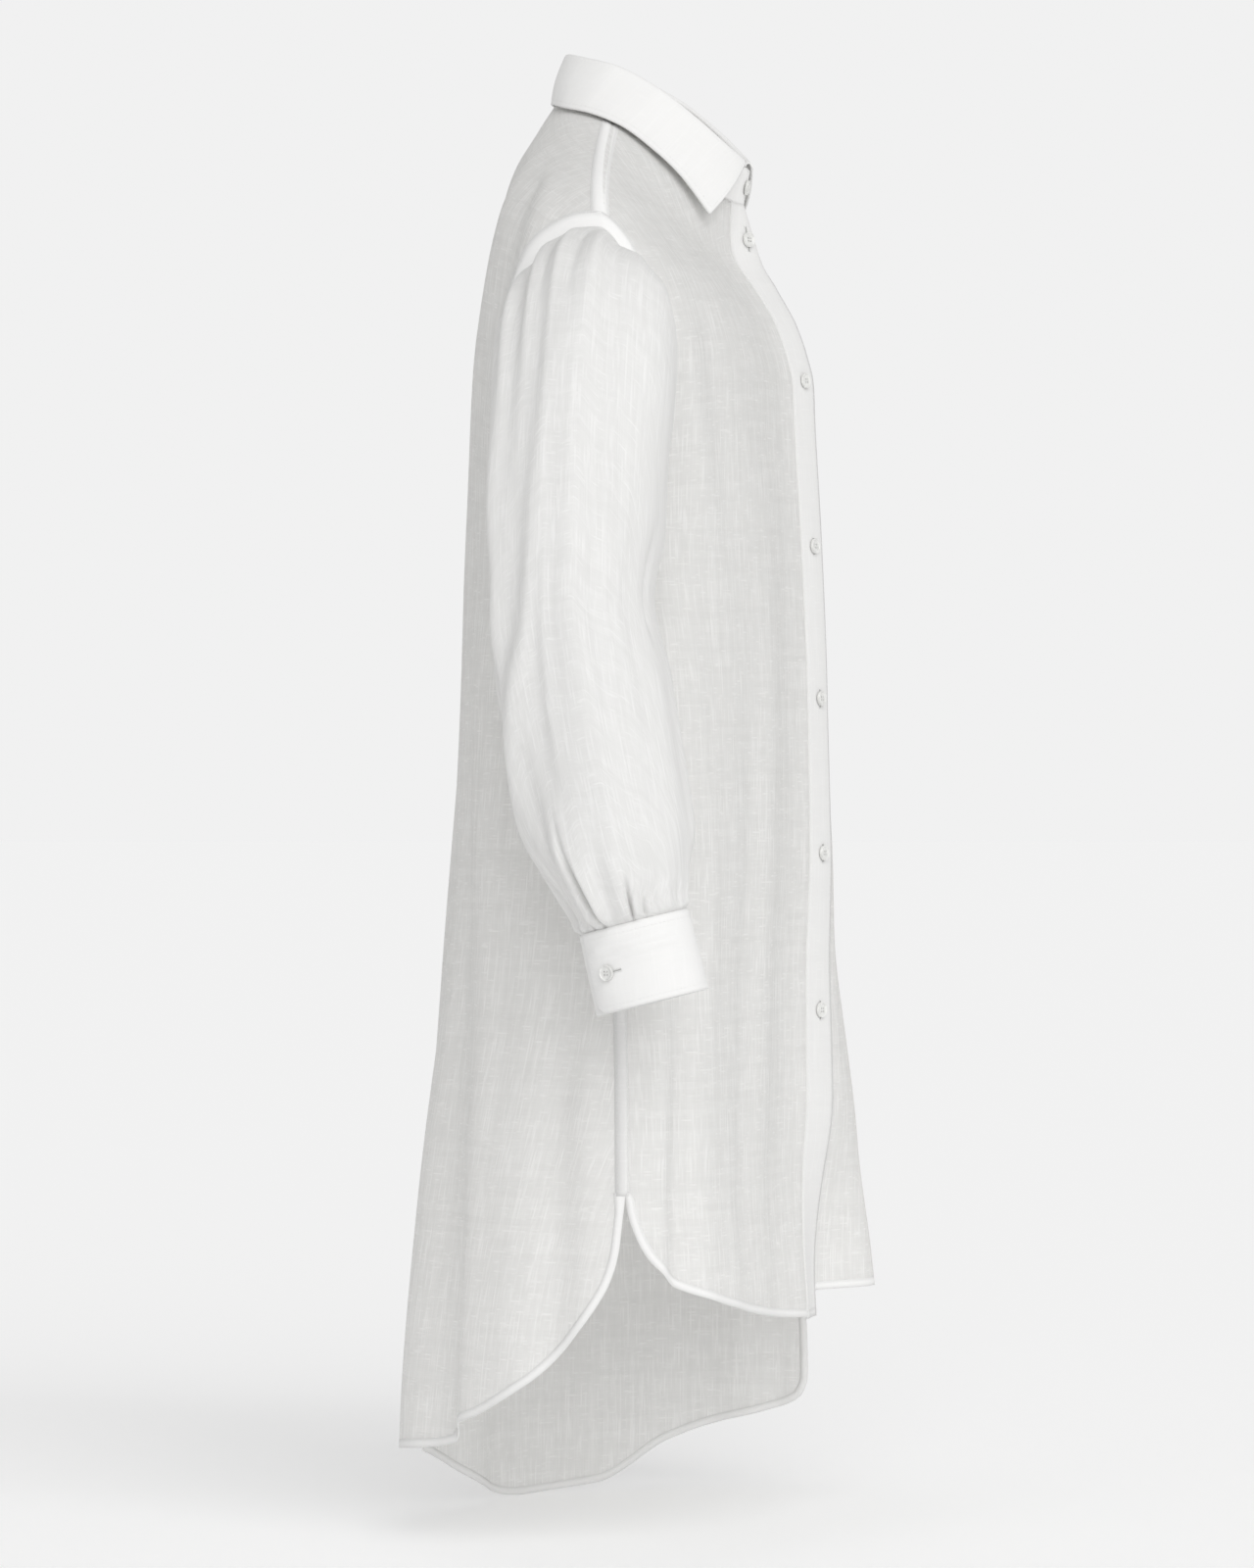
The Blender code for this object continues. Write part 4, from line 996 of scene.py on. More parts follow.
LONG_CREASES = (
    (4.0, -30.0, 6.0, 0.10, 0.28, 0.50, 0.60, 0.0030),
    (-10.0, -46.0, 10.0, 0.12, 0.30, 0.50, 0.60, -0.0068),
    (-20.5, -89.0, 6.0, 0.50, 0.60, 0.74, 0.86, 0.0030),
    (-36.0, -104.0, 10.0, 0.50, 0.60, 0.70, 0.82, -0.0064),
    (-52.0, -60.0, 4.0, 0.24, 0.40, 0.60, 0.76, 0.0018),
    (-6.0, -18.0, 4.0, 0.34, 0.50, 0.62, 0.78, 0.0020),
    (22.0, 18.0, 4.4, 0.26, 0.44, 0.58, 0.74, -0.0018),
    (48.0, 40.0, 4.0, 0.34, 0.52, 0.66, 0.84, 0.0018),
    (84.0, 76.0, 3.6, 0.38, 0.48, 0.52, 0.60, -0.0040),
    (96.0, 92.0, 4.6, 0.54, 0.70, 0.80, 0.92, 0.0022),
    (140.0, 150.0, 4.6, 0.20, 0.38, 0.62, 0.80, 0.0026),
    (186.0, 192.0, 4.4, 0.24, 0.44, 0.66, 0.82, -0.0026),
    (200.0, 214.0, 4.0, 0.40, 0.58, 0.72, 0.86, 0.0022),
    (246.0, 240.0, 4.4, 0.28, 0.46, 0.66, 0.84, 0.0022),
)
WRIST_PLEATS = (
    (-44.0, -46.0, 6.0, 0.60, 0.80, *TO_CUFF, -0.0030),
    (-30.0, -23.0, 1.8, 0.74, 0.92, *TO_CUFF, -0.0090),
    (-25.0, -18.0, 3.0, 0.72, 0.90, *TO_CUFF, 0.0040),
    (-48.0, -38.0, 1.6, 0.82, 0.95, *TO_CUFF, -0.0056),
    (14.0, 9.0, 1.5, 0.84, 0.95, *TO_CUFF, -0.0074),
    (18.0, 13.0, 2.4, 0.84, 0.95, *TO_CUFF, 0.0028),
    (26.0, 22.0, 1.6, 0.88, 0.97, *TO_CUFF, -0.0036),
    (-72.0, -56.0, 2.2, 0.74, 0.90, *TO_CUFF, 0.0026),
    (-84.0, -68.0, 2.2, 0.74, 0.90, *TO_CUFF, -0.0026),
    (-92.0, -78.0, 2.4, 0.76, 0.90, *TO_CUFF, 0.0026),
    (-104.0, -92.0, 2.4, 0.78, 0.92, *TO_CUFF, -0.0024),
    (34.0, 38.0, 2.6, 0.86, 0.95, *TO_CUFF, -0.0022),
    (52.0, 54.0, 3.2, 0.84, 0.94, *TO_CUFF, 0.0018),
    (70.0, 70.0, 2.6, 0.86, 0.95, *TO_CUFF, -0.0022),
    (92.0, 90.0, 3.2, 0.84, 0.94, *TO_CUFF, 0.0020),
    (112.0, 110.0, 2.8, 0.86, 0.95, *TO_CUFF, -0.0024),
    (134.0, 130.0, 3.4, 0.82, 0.94, *TO_CUFF, 0.0022),
    (156.0, 154.0, 2.8, 0.86, 0.95, *TO_CUFF, -0.0024),
    (178.0, 176.0, 3.4, 0.82, 0.94, *TO_CUFF, 0.0024),
    (202.0, 200.0, 2.8, 0.84, 0.94, *TO_CUFF, -0.0024),
    (226.0, 224.0, 3.2, 0.80, 0.94, *TO_CUFF, 0.0022),
    (246.0, 248.0, 2.6, 0.82, 0.94, *TO_CUFF, -0.0022),
)
ARM = table(SLEEVE, SLEEVE_NAMES)
SLEEVE_FOLDS = LARGE_SLEEVE_FOLDS + HEAD_GATHERS + LONG_CREASES + WRIST_PLEATS
print("folds of a sleeve:", len(SLEEVE_FOLDS))

# %% [markdown]
# Turn 0 of a ring is its outer side and 90 its front. The first part of the sleeve blends from
# the armhole's own edge into the free rings, so that the sleeve always meets the armhole. At the
# cuff its folds are pressed flat and tucked in. The seam of the weave is at the underarm, as it is
# on the real sleeve. The columns lie one degree apart on the outer side, which is seen most.

# %% Build the sleeves
SLEEVE_INSET = 0.0010
SLEEVE_BLEND = 0.14
SLEEVE_TUCK = 0.0014
TUCK_FROM = 0.975
TUCK_SPAN = 0.02
PRESSED_SHARE = 0.85
PRESSED_FROM = 0.965
PRESSED_SPAN = 0.03
SLEEVE_TURNS = np.concatenate((np.linspace(-180.0, -113.0, 28), np.linspace(-111.0, 54.0, 166),
                               np.linspace(56.0, 180.0, 50)))
SLEEVE_ROWS = 131
SLEEVE_GATHER = 0.45


def hang_back(along, side):
    """How far the left sleeve swings back of the right one, growing towards its cuff."""
    return LEFT_HANGS_BACK * ease((along - 0.1) / 0.9) * (side > 0)


def sleeve(turns, along, side):
    """A point of a sleeve. Turn 0 is its top or outer side, 90 its front."""
    turns, along = np.broadcast_arrays(np.asarray(turns, float), np.asarray(along, float))
    held = np.clip(along, 0.0, 1.0)
    value = {name: smooth(held, ARM["along"], ARM[name]) for name in SLEEVE_NAMES[1:]}
    tilt = np.radians(value["tilt"])
    lean = np.radians(value["lean"])
    lift = fold_lift(SLEEVE_FOLDS, turns, held)
    lift = lift * (1 - PRESSED_SHARE * ease((held - PRESSED_FROM) / PRESSED_SPAN))
    lift = lift - SLEEVE_TUCK * ease((held - TUCK_FROM) / TUCK_SPAN)
    outward = (value["half_out"] + lift) * np.cos(np.radians(turns))
    forward = (value["half_fore"] + lift) * np.sin(np.radians(turns))
    x = side * (value["out"] + outward * np.cos(tilt))
    y = value["y"] - forward * np.cos(lean) + hang_back(held, side)
    z = value["z"] + outward * np.sin(tilt) + forward * np.sin(lean)
    blend = ease(held / SLEEVE_BLEND)[..., None]
    edge = armhole_point(turns, SLEEVE_INSET, side)
    return edge * (1 - blend) + np.stack((x, y, z), axis=-1) * blend


middle = int(np.argmin(np.abs(SLEEVE_TURNS)))
turns, along = np.meshgrid(SLEEVE_TURNS, eased_steps(SLEEVE_ROWS, SLEEVE_GATHER))
for name, side in SIDES:
    points = sleeve(turns, along, side)
    weave = plain_weave(points)
    weave[..., 0] -= weave[:, middle:middle + 1, 0]
    cloth_piece("gauze_sleeve_" + name, points[:, :-1], weave, GAUZE_THICK, sleeve_gauze,
                ring=True)
print("sleeve cells:", len(PIECES["gauze_sleeve_right"].data.polygons))

# %% [markdown]
# ## Cuffs
#
# A cuff is a stiff doubled strip that wraps round the wrist, with one end lapped over the other
# and held by a button. It is a spiral: the lapped part lies just inside the other end. The outer
# end has a rounded lower corner. Each row of the crease table is a soft dent or ridge: its turn
# round the wrist, how far down it lies, its spreads both ways and its rise.

# %% Build the cuffs
CUFF_HEIGHT = 0.058
CUFF_TOP = (0.320, -0.0437, -0.5976)
CUFF_LEAN = math.radians(14.2)
CUFF_HALF_OUT = 0.0300
CUFF_HALF_FORE = 0.0400
CUFF_SPREAD = 0.0010
CUFF_FLARE = 0.08
CUFF_OVER_SLEEVE = 0.0012
CUFF_LAP_START = -62.0
CUFF_LAP_SHOWN = 298.0
CUFF_LAP_END = 343.0
CUFF_LAP_RAMP = 30.0
CUFF_LAP_UNDER = 0.0024
CUFF_CORNER = 0.010
CUFF_THICK = 0.0015
CORNER_SPAN = 18.0
CUFF_ROWS = 25
CUFF_CREASES = (
    (-40.0, 0.014, 8.0, 0.0020, 0.0019),
    (-18.0, 0.0185, 16.0, 0.0018, -0.0020),
    (-4.0, 0.012, 20.0, 0.0018, 0.0020),
    (16.0, 0.024, 22.0, 0.0022, 0.0019),
    (-40.0, 0.042, 12.0, 0.0024, 0.0012),
    (30.0, 0.017, 14.0, 0.0018, -0.0019),
    (44.0, 0.036, 16.0, 0.0028, 0.0012),
    (64.0, 0.018, 13.0, 0.0030, -0.0008),
    (112.0, 0.034, 16.0, 0.0034, 0.0007),
    (168.0, 0.022, 15.0, 0.0030, -0.0006),
    (226.0, 0.038, 16.0, 0.0034, 0.0006),
)


def cuff_point(turns, down, under, side):
    """A point of a cuff at a turn round the wrist, this far down from its top edge."""
    turned = np.radians(turns)
    crease = np.zeros_like(turned + down)
    for turn, level, spread, height, rise in CUFF_CREASES:
        near = (turn_between(turns, turn) / spread) ** 2 + ((down - level) / height) ** 2
        crease = crease + rise * np.exp(-0.5 * near)
    half_out = CUFF_HALF_OUT + CUFF_SPREAD * down / CUFF_HEIGHT - under + crease
    half_fore = CUFF_HALF_FORE + CUFF_SPREAD * down / CUFF_HEIGHT - under + crease
    forward = half_fore * np.sin(turned)
    x = side * (CUFF_TOP[0] + half_out * np.cos(turned) + CUFF_FLARE * down)
    y = CUFF_TOP[1] - forward * math.cos(CUFF_LEAN) - down * math.sin(CUFF_LEAN)
    z = CUFF_TOP[2] + forward * math.sin(CUFF_LEAN) - down * math.cos(CUFF_LEAN)
    return np.stack((x, y + hang_back(1.0, side), z), axis=-1)


def cuff_normal(turns, side):
    """The direction straight out of a cuff at a turn round the wrist."""
    out = np.cos(np.radians(turns)) / CUFF_HALF_OUT
    fore = np.sin(np.radians(turns)) / CUFF_HALF_FORE
    out, fore = out / np.hypot(out, fore), fore / np.hypot(out, fore)
    return np.stack((side * out, -fore * math.cos(CUFF_LEAN), fore * math.sin(CUFF_LEAN)), axis=-1)


def cuff_height_at(turns):
    """How tall the cuff is at a turn, less at the rounded corner of its outer end."""
    from_end = np.radians(turns - CUFF_LAP_START) * (CUFF_HALF_OUT + CUFF_HALF_FORE) / 2
    bite = np.clip(CUFF_CORNER - from_end, 0.0, CUFF_CORNER)
    return CUFF_HEIGHT - CUFF_CORNER + np.sqrt(CUFF_CORNER**2 - bite**2)


def cuff_under(turns):
    """How far inside the lapped end of the cuff lies at a turn."""
    return CUFF_LAP_UNDER * ease((turns - CUFF_LAP_SHOWN + CUFF_LAP_RAMP) / CUFF_LAP_RAMP)


turns = np.concatenate((CUFF_LAP_START + np.linspace(0.0, CORNER_SPAN, 16),
                        np.linspace(CUFF_LAP_START + CORNER_SPAN + 2.0, CUFF_LAP_END, 120)))
share = np.linspace(0.0, 1.0, CUFF_ROWS)[:, None]
down = -CUFF_OVER_SLEEVE + (cuff_height_at(turns) + CUFF_OVER_SLEEVE) * share
for name, side in SIDES:
    points = cuff_point(turns[None, :], down, cuff_under(turns)[None, :], side)
    cloth_piece("doubled_cuff_" + name, points, plain_weave(points), CUFF_THICK, doubled)
print("cuff round, metres:", round(float(plain_weave(points)[0, -1, 0]), 3))

# %% [markdown]
# ## Collar
#
# A shirt collar has two parts. The stand is a band that rises from the neck seam, lapped at
# centre front, and the fall is sewn to its top edge, rolls over and lies down on the shoulders
# with two points. One table gives the roll line and the outer edge of the fall.

# %% Collar lines
COLLAR_NAMES = ("angle", "roll_out", "roll_y", "roll_z", "edge_out", "edge_y", "edge_z")
COLLAR = (
    (0, 0.0000, -0.0760, -0.0275, 0.0625, -0.0543, -0.0680),
    (4, 0.0050, -0.0755, -0.0265, 0.0625, -0.0543, -0.0680),
    (12, 0.0150, -0.0712, -0.0225, 0.0625, -0.0543, -0.0680),
    (24, 0.0290, -0.0650, -0.0165, 0.0715, -0.0333, -0.0385),
    (47, 0.0490, -0.0415, 0.0060, 0.0765, -0.0130, -0.0190),
    (75, 0.0590, -0.0110, 0.0300, 0.0785, 0.0118, -0.0008),
    (105, 0.0580, 0.0180, 0.0455, 0.0740, 0.0367, 0.0094),
    (133, 0.0460, 0.0450, 0.0535, 0.0605, 0.0585, 0.0150),
    (160, 0.0220, 0.0620, 0.0586, 0.0280, 0.0738, 0.0207),
    (180, 0.0000, 0.0660, 0.0595, 0.0000, 0.0775, 0.0220),
)
COLLAR_START = 12.0
STAND_FLAT = 4.0
STAND_LAP = 0.0155
STAND_DROP = 0.0030
STAND_RISE = -0.0004
STAND_SLOPE = 0.0015
ROLL_RADIUS = 0.0022
COLLAR_THICK = 0.0015
NECK = table(COLLAR, COLLAR_NAMES)


def collar_line(kind, angle):
    """Points of the roll line or of the outer edge of the fall, right side at -X."""
    away = turn_between(angle, 0.0)
    out, y, z = (smooth(np.abs(away), NECK["angle"], NECK[kind + end])
                 for end in ("_out", "_y", "_z"))
    return np.stack((-np.sign(away) * out, y, z), axis=-1)


def roll_point(angle):
    """The roll line, carried on past the end of the fall for the lapped stand."""
    away = turn_between(angle, 0.0)
    ahead = collar_line("roll", np.full_like(away, STAND_FLAT))
    share = away / STAND_FLAT
    rise = STAND_SLOPE * (np.abs(share) - 1.0)
    flat = np.stack((ahead[..., 0] * share, ahead[..., 1], ahead[..., 2] + rise), axis=-1)
    near = (np.abs(away) < STAND_FLAT)[..., None]
    return np.where(near, flat, collar_line("roll", angle))


def inward_at(angle):
    """The level direction from the roll line towards the inside of the neck."""
    along = roll_point(angle + 1.0) - roll_point(angle - 1.0)
    inward = unit(np.stack((-along[..., 1], along[..., 0], np.zeros_like(along[..., 0])), axis=-1))
    towards = np.sum(-roll_point(angle) * inward, axis=-1, keepdims=True)
    return np.where(towards < 0, -inward, inward)


print("collar front starts at", np.round(roll_point(np.array([COLLAR_START])), 3)[0])

# %% [markdown]
# Both parts are sheets whose columns go round the neck. The stand is a straight blend from the
# neck seam to the roll line. The fall starts inside, goes over the roll in an arc, and then runs
# to its edge with a slight bulge, because a doubled collar is too stiff to lie dead flat.

# %% Stand and fall
LAP = float(band_angle(np.array(NECK_LEVEL), STAND_LAP))
UNDER_FROM = 300.0
UNDER_EARLY = 6.0
FALL_TUCK = 0.0026
FALL_RADIUS = 0.0024
FALL_CROWN = 0.0020
FALL_TURNS = (20.0, 55.0, 90.0, 125.0, 160.0)
FALL_START = 0.0030
FALL_BULGE = 0.05
FALL_ROWS = 22


def stand_point(angles, share):
    """A point of the stand, from the neck seam at share 0 to its top edge at share 1."""
    under = BAND_UNDER * ease((angles - UNDER_FROM) / (360.0 - LAP - (UNDER_FROM + UNDER_EARLY)))
    base = body(angles, np.full_like(angles, NECK_LEVEL))
    base[..., 2] += STAND_RISE
    inward = inward_at(angles)
    top = roll_point(angles) + inward * ROLL_RADIUS
    top[..., 2] -= STAND_DROP
    return base * (1 - share) + top * share + inward * under[..., None]


def fall_rows(angles):
    """Rows of the fall, from its hidden edge over the roll to its outer edge."""
    roll = collar_line("roll", angles)
    edge = collar_line("edge", angles)
    inward = inward_at(angles)
    up = np.array((0.0, 0.0, 1.0))
    rows = [roll + inward * ROLL_RADIUS - up * FALL_TUCK]
    for turn in np.radians(FALL_TURNS):
        rise = FALL_RADIUS * math.sin(turn) - FALL_CROWN
        rows.append(roll + inward * FALL_RADIUS * math.cos(turn) + up * rise)
    start = roll - inward * FALL_START - up * FALL_START
    span = edge - start
    bulge = np.linalg.norm(span, axis=-1, keepdims=True) * FALL_BULGE
    for share in np.linspace(0.0, 1.0, FALL_ROWS + 1):
        rows.append(start + span * share - inward * bulge * math.sin(math.pi * share))
    return np.stack(rows)


angles = np.linspace(-LAP, 360.0 + LAP, 200)
points = np.stack([stand_point(angles, share) for share in np.linspace(0.0, 1.0, 13)])
cloth_piece("collar_stand_doubled", points, plain_weave(points), COLLAR_THICK, doubled)
angles = np.linspace(COLLAR_START, 360.0 - COLLAR_START, 240)
fall = fall_rows(angles)
cloth_piece("collar_fall_doubled", fall, plain_weave(fall), COLLAR_THICK, doubled)
print("collar edge round, metres:", round(float(plain_weave(fall)[-1, -1, 0]), 3))

# %% [markdown]
# ## Stitches
#
# The collar, cuffs, bands, seams and hems are topstitched. A stitch is a short bead of thread
# that lies on the cloth, so one is made as a small eight-sided form and repeated along a line.

# %% Stitch maker
STITCH_PITCH = 0.0030
STITCH_LENGTH = 0.0023
STITCH_RADIUS = 0.00017
THREAD_PROUD = 0.00004
THREAD_COLOUR = (0.86, 0.86, 0.85, 1.0)
BEAD_FACES = ((0, 1, 2), (0, 2, 3), (0, 3, 4), (0, 4, 1),
              (5, 2, 1), (5, 3, 2), (5, 4, 3), (5, 1, 4))


def object_noise(tree, scale, detail=2.0):
    """Noise through the body of a piece, for finishes that have no weave."""
    place = node(tree, "ShaderNodeTexCoord")
    noise = node(tree, "ShaderNodeTexNoise", Scale=scale, Detail=detail)
    tree.links.new(place.outputs["Object"], noise.inputs["Vector"])
    return noise.outputs["Fac"]


thread, thread_tree, thread_surface = material("white_thread", {"Base Color": THREAD_COLOUR,
                                                                "Roughness": 0.6})
twist_bump = node(thread_tree, "ShaderNodeBump", Strength=0.4, Distance=0.00006)
thread_tree.links.new(object_noise(thread_tree, 2600.0), twist_bump.inputs["Height"])
thread_tree.links.new(twist_bump.outputs["Normal"], thread_surface.inputs["Normal"])


def thread_beads(name, centres, along, normals, length, radius):
    """Short beads of thread at these centres, as one piece."""
    along = unit(along)
    aside = unit(np.cross(along, normals))
    corners = (centres - along * length / 2, centres + aside * radius, centres + normals * radius,
               centres - aside * radius, centres - normals * radius, centres + along * length / 2)
    points = np.stack(corners, axis=1).reshape(-1, 3)
    faces = (np.arange(len(centres))[:, None, None] * 6 + np.array(BEAD_FACES)[None]).reshape(-1, 3)
    mesh = bpy.data.meshes.new(name)
    mesh.from_pydata(points.tolist(), [], faces.tolist())
    mesh.polygons.foreach_set("use_smooth", np.ones(len(faces), bool))
    mesh.materials.append(thread)
    mesh.update()
    beads = bmesh.new()
    beads.from_mesh(mesh)
    bmesh.ops.recalc_face_normals(beads, faces=beads.faces)
    beads.to_mesh(mesh)
    beads.free()
    PIECES[name] = in_scene(name, mesh)


def places_on(stops, run, line):
    """The places on a line at these distances along it."""
    return np.stack([np.interp(stops, run, line[:, axis]) for axis in range(3)], axis=-1)


def stitch_places(line, normals):
    """Where the stitches of a line go: their centres, directions and normals."""
    run = lengths_along(line[None], 1)[0]
    stops = np.arange(STITCH_PITCH / 2, run[-1], STITCH_PITCH)
    way = places_on(stops + 0.001, run, line) - places_on(stops - 0.001, run, line)
    return places_on(stops, run, line), way, unit(places_on(stops, run, normals))


def topstitch(name, lines):
    """One piece with the stitches of several lines, each a pair of points and normals."""
    found = [stitch_places(line, normals) for line, normals in lines]
    centres, along, facing = (np.concatenate(part) for part in zip(*found))
    thread_beads(name, centres, along, facing, STITCH_LENGTH, STITCH_RADIUS)


print("stitch pitch:", STITCH_PITCH)

# %% [markdown]
# Along the body the stitches follow the hems, the seams and both edges of the front band. They
# sit on the outer face of each strip, half sunk in it.

# %% Stitches of the body
STRIP_FACE = STRIP_THICK / 2 + THREAD_PROUD
STITCH_IN = 0.0012
BAND_STITCH_IN = 0.0022
ARMHOLE_STITCH = -0.0098


def body_line(angles, levels, side=1, left_front=False, face=STRIP_FACE):
    """A line on the outer face of a strip, with its normals."""
    angles = side * angles
    normals = body_normals(angles, levels)
    return front_cloth(angles, levels, left_front) + normals * face, normals


hem_lines = []
for angles, levels, side, left_front in HEMS.values():
    moved = moved_across(angles, levels, HEM_STRIP - STITCH_IN, side)
    hem_lines.append(body_line(*moved, side, left_front))
topstitch("hem_stitches", hem_lines)

seam_lines = []
for name, side, slit_top in SEAMS:
    runs = ((slit_top, ARMHOLE_LOW - 0.012, SEAM_STRIP),
            (ARMHOLE_TOP + 0.011, NECK_LEVEL - 0.002, SHOULDER_STRIP))
    for low, high, strip in runs:
        levels = np.linspace(low, high, 120)
        for distance in (-strip / 2 + STITCH_IN, strip / 2 - STITCH_IN):
            moved = moved_across(np.full_like(levels, 90.0), levels, distance, side)
            seam_lines.append(body_line(*moved, side))
    turns = np.linspace(0.0, 360.0, 200)
    line = armhole_point(turns, ARMHOLE_STITCH, -side)
    across = line - armhole_point(turns, ARMHOLE_STITCH + 0.0013, -side)
    normals = unit(np.cross(np.gradient(line, axis=0), across))
    away = np.sign(np.sum(normals * (line * np.array((1.0, 1.0, 0.0))), axis=-1, keepdims=True))
    normals = normals * away
    seam_lines.append((line + normals * STRIP_FACE, normals))
topstitch("seam_stitches", seam_lines)

band_lines = []
for offset in (-BAND_WIDTH / 2 + BAND_STITCH_IN, BAND_WIDTH / 2 - BAND_STITCH_IN):
    levels = np.linspace(RIGHT_HEM["height"][0] + 0.001, -0.001, 400)
    line = band_points(np.full_like(levels, offset), levels, False)
    angles = band_angle(np.maximum(levels, SLIT_LEVEL), offset)
    normals = body_normals(angles, levels)
    band_lines.append((line + normals * (DOUBLED_THICK / 2 + THREAD_PROUD), normals))
topstitch("band_stitches", band_lines)
print("stitch pieces:", [name for name in PIECES if "stitches" in name])

# %% [markdown]
# The collar is stitched 5 mm inside its edge, and each cuff all round. The lapped end of a cuff
# is stitched too, which shows beside the button.

# %% Stitches of the collar and cuffs
COLLAR_STITCH_IN = 0.005
CUFF_STITCH_IN = 0.0045
STITCH_END = COLLAR_START + 2.2


def fall_surface(angles, share):
    """A point of the outer face of the fall, from the roll at share 0 to the edge at share 1."""
    rows = fall_rows(angles)[1 + len(FALL_TURNS):]
    place = np.clip(share, 0.0, 1.0) * (len(rows) - 1)
    cell = np.minimum(place.astype(int), len(rows) - 2)
    part = (place - cell)[..., None]
    column = np.arange(len(angles))
    return rows[cell, column] * (1 - part) + rows[cell + 1, column] * part


def fall_line(angles, share):
    """A line on the fall, with its outward normals."""
    line = fall_surface(angles, share)
    along = fall_surface(angles + 0.3, share) - fall_surface(angles - 0.3, share)
    down = fall_surface(angles, share + 0.01) - fall_surface(angles, share - 0.01)
    normals = unit(np.cross(along, down))
    facing = np.sum(normals * -inward_at(angles), axis=-1, keepdims=True)
    normals = np.where(facing < 0, -normals, normals)
    return line + normals * (COLLAR_THICK / 2 + THREAD_PROUD), normals


angles = np.linspace(STITCH_END, 360.0 - STITCH_END, 300)
width = np.linalg.norm(collar_line("edge", angles) - collar_line("roll", angles), axis=-1)
collar_lines = [fall_line(angles, 1 - COLLAR_STITCH_IN / width)]
for end in (STITCH_END, 360.0 - STITCH_END):
    share = np.linspace(0.02, 1 - COLLAR_STITCH_IN / width[0], 60)
    collar_lines.append(fall_line(np.full_like(share, end), share))
topstitch("collar_stitches", collar_lines)


def cuff_line(turns, down, side):
    """A line on the outer face of a cuff, with its normals."""
    normals = cuff_normal(turns, side)
    line = cuff_point(turns, down, cuff_under(turns), side)
    return line + normals * (CUFF_THICK / 2 + THREAD_PROUD), normals


for name, side in SIDES:
    turns = np.linspace(CUFF_LAP_START + 7.0, CUFF_LAP_SHOWN - 8.0, 200)
    lines = [cuff_line(turns, np.full_like(turns, CUFF_STITCH_IN), side)]
    low = cuff_height_at(turns - 4.0) - CUFF_STITCH_IN
    lines.append(cuff_line(turns, low, side))
    down = np.linspace(CUFF_STITCH_IN, low[0], 30)
    lines.append(cuff_line(np.full_like(down, turns[0]), down, side))
    topstitch("cuff_stitches_" + name, lines)
print("pieces so far:", len(PIECES))

# %% [markdown]
# ## Buttonholes
#
# A buttonhole is a slit whose edges are wrapped in close thread. Those of the front band run up
# and down, and the one of the cuff runs round the wrist. Each is built from short bars of thread
# laid across the slit's edges, with a narrow dark sheet between them: painted shade for the slit.

# %% Buttonhole maker
BUTTON_WIDTH = 0.0115
BUTTON_THICK = 0.0022
BUTTON_LIFT = 0.0006
BUTTON_HEIGHTS = (-0.0815, -0.1905, -0.3165, -0.4325, -0.550, -0.6695)
HOLE_LENGTH = 0.0145
BAR_LENGTH = 0.0013
BAR_PITCH = 0.00055
BAR_RADIUS = 0.00030
BAR_ASIDE = 0.0009
BAR_LIFT = 0.0001
TACK_REACH = 0.0012
SLIT_HALF = 0.00022
SLIT_LIFT = 0.00008
SLIT_THICK = 0.0002
A_LITTLE = 0.0002

# The slit is a dark grey sheet: painted shade for the inside of the opening.
shade, _, _ = material("slit_shade", {"Base Color": (0.36, 0.36, 0.35, 1.0), "Roughness": 1.0})


def buttonhole(name, place, length):
    """A buttonhole along place(run, aside), which gives a point and a normal on the cloth."""
    edge = np.arange(-length / 2, length / 2, BAR_PITCH)
    tack = np.linspace(-TACK_REACH, TACK_REACH, 5)
    bars = [(edge, np.full_like(edge, aside), 0.0, A_LITTLE) for aside in (-BAR_ASIDE, BAR_ASIDE)]
    bars += [(np.full_like(tack, end), tack, A_LITTLE, 0.0) for end in (-length / 2, length / 2)]
    found = []
    for runs, asides, further, beside in bars:
        point, normal = place(runs, asides)
        next_point, _ = place(runs + further, asides + beside)
        found.append((point + normal * BAR_LIFT, next_point - point, normal))
    thread_beads(name, *(np.concatenate(part) for part in zip(*found)), BAR_LENGTH, BAR_RADIUS)
    asides, runs = np.meshgrid((-SLIT_HALF, SLIT_HALF), np.linspace(-length / 2, length / 2, 9))
    points, normals = place(runs, asides)
    cloth_piece(name + "_slit", points + normals * SLIT_LIFT, plain_weave(points), SLIT_THICK,
                shade)


def level_at_height(height):
    """The level whose ring passes centre front at this height."""
    return float(np.interp(height, BODY["front_z"], BODY["side_z"]))


def on_band(level):
    """The place finder for a buttonhole that runs up the band from this level."""
    def place(run, aside):
        at = np.full_like(run, level) + run
        angle = band_angle(np.maximum(at, SLIT_LEVEL), aside)
        normal = body_normals(angle, at)
        return body(angle, at) + normal * (BAND_OUT + DOUBLED_THICK / 2), normal
    return place


for index, height in enumerate(BUTTON_HEIGHTS):
    buttonhole("buttonhole_%d" % (index + 1), on_band(level_at_height(height)), HOLE_LENGTH)
print("front buttonholes:", len(BUTTON_HEIGHTS))

# %% [markdown]
# The hole of a cuff reaches further to the front than its button, because the closed cuff pulls
# the button to the back end of its hole.

# %% Cuff buttonholes
CUFF_BUTTON_ANGLE = -32.0
CUFF_BUTTON_DOWN = 0.030
CUFF_HOLE_AHEAD = 0.0046


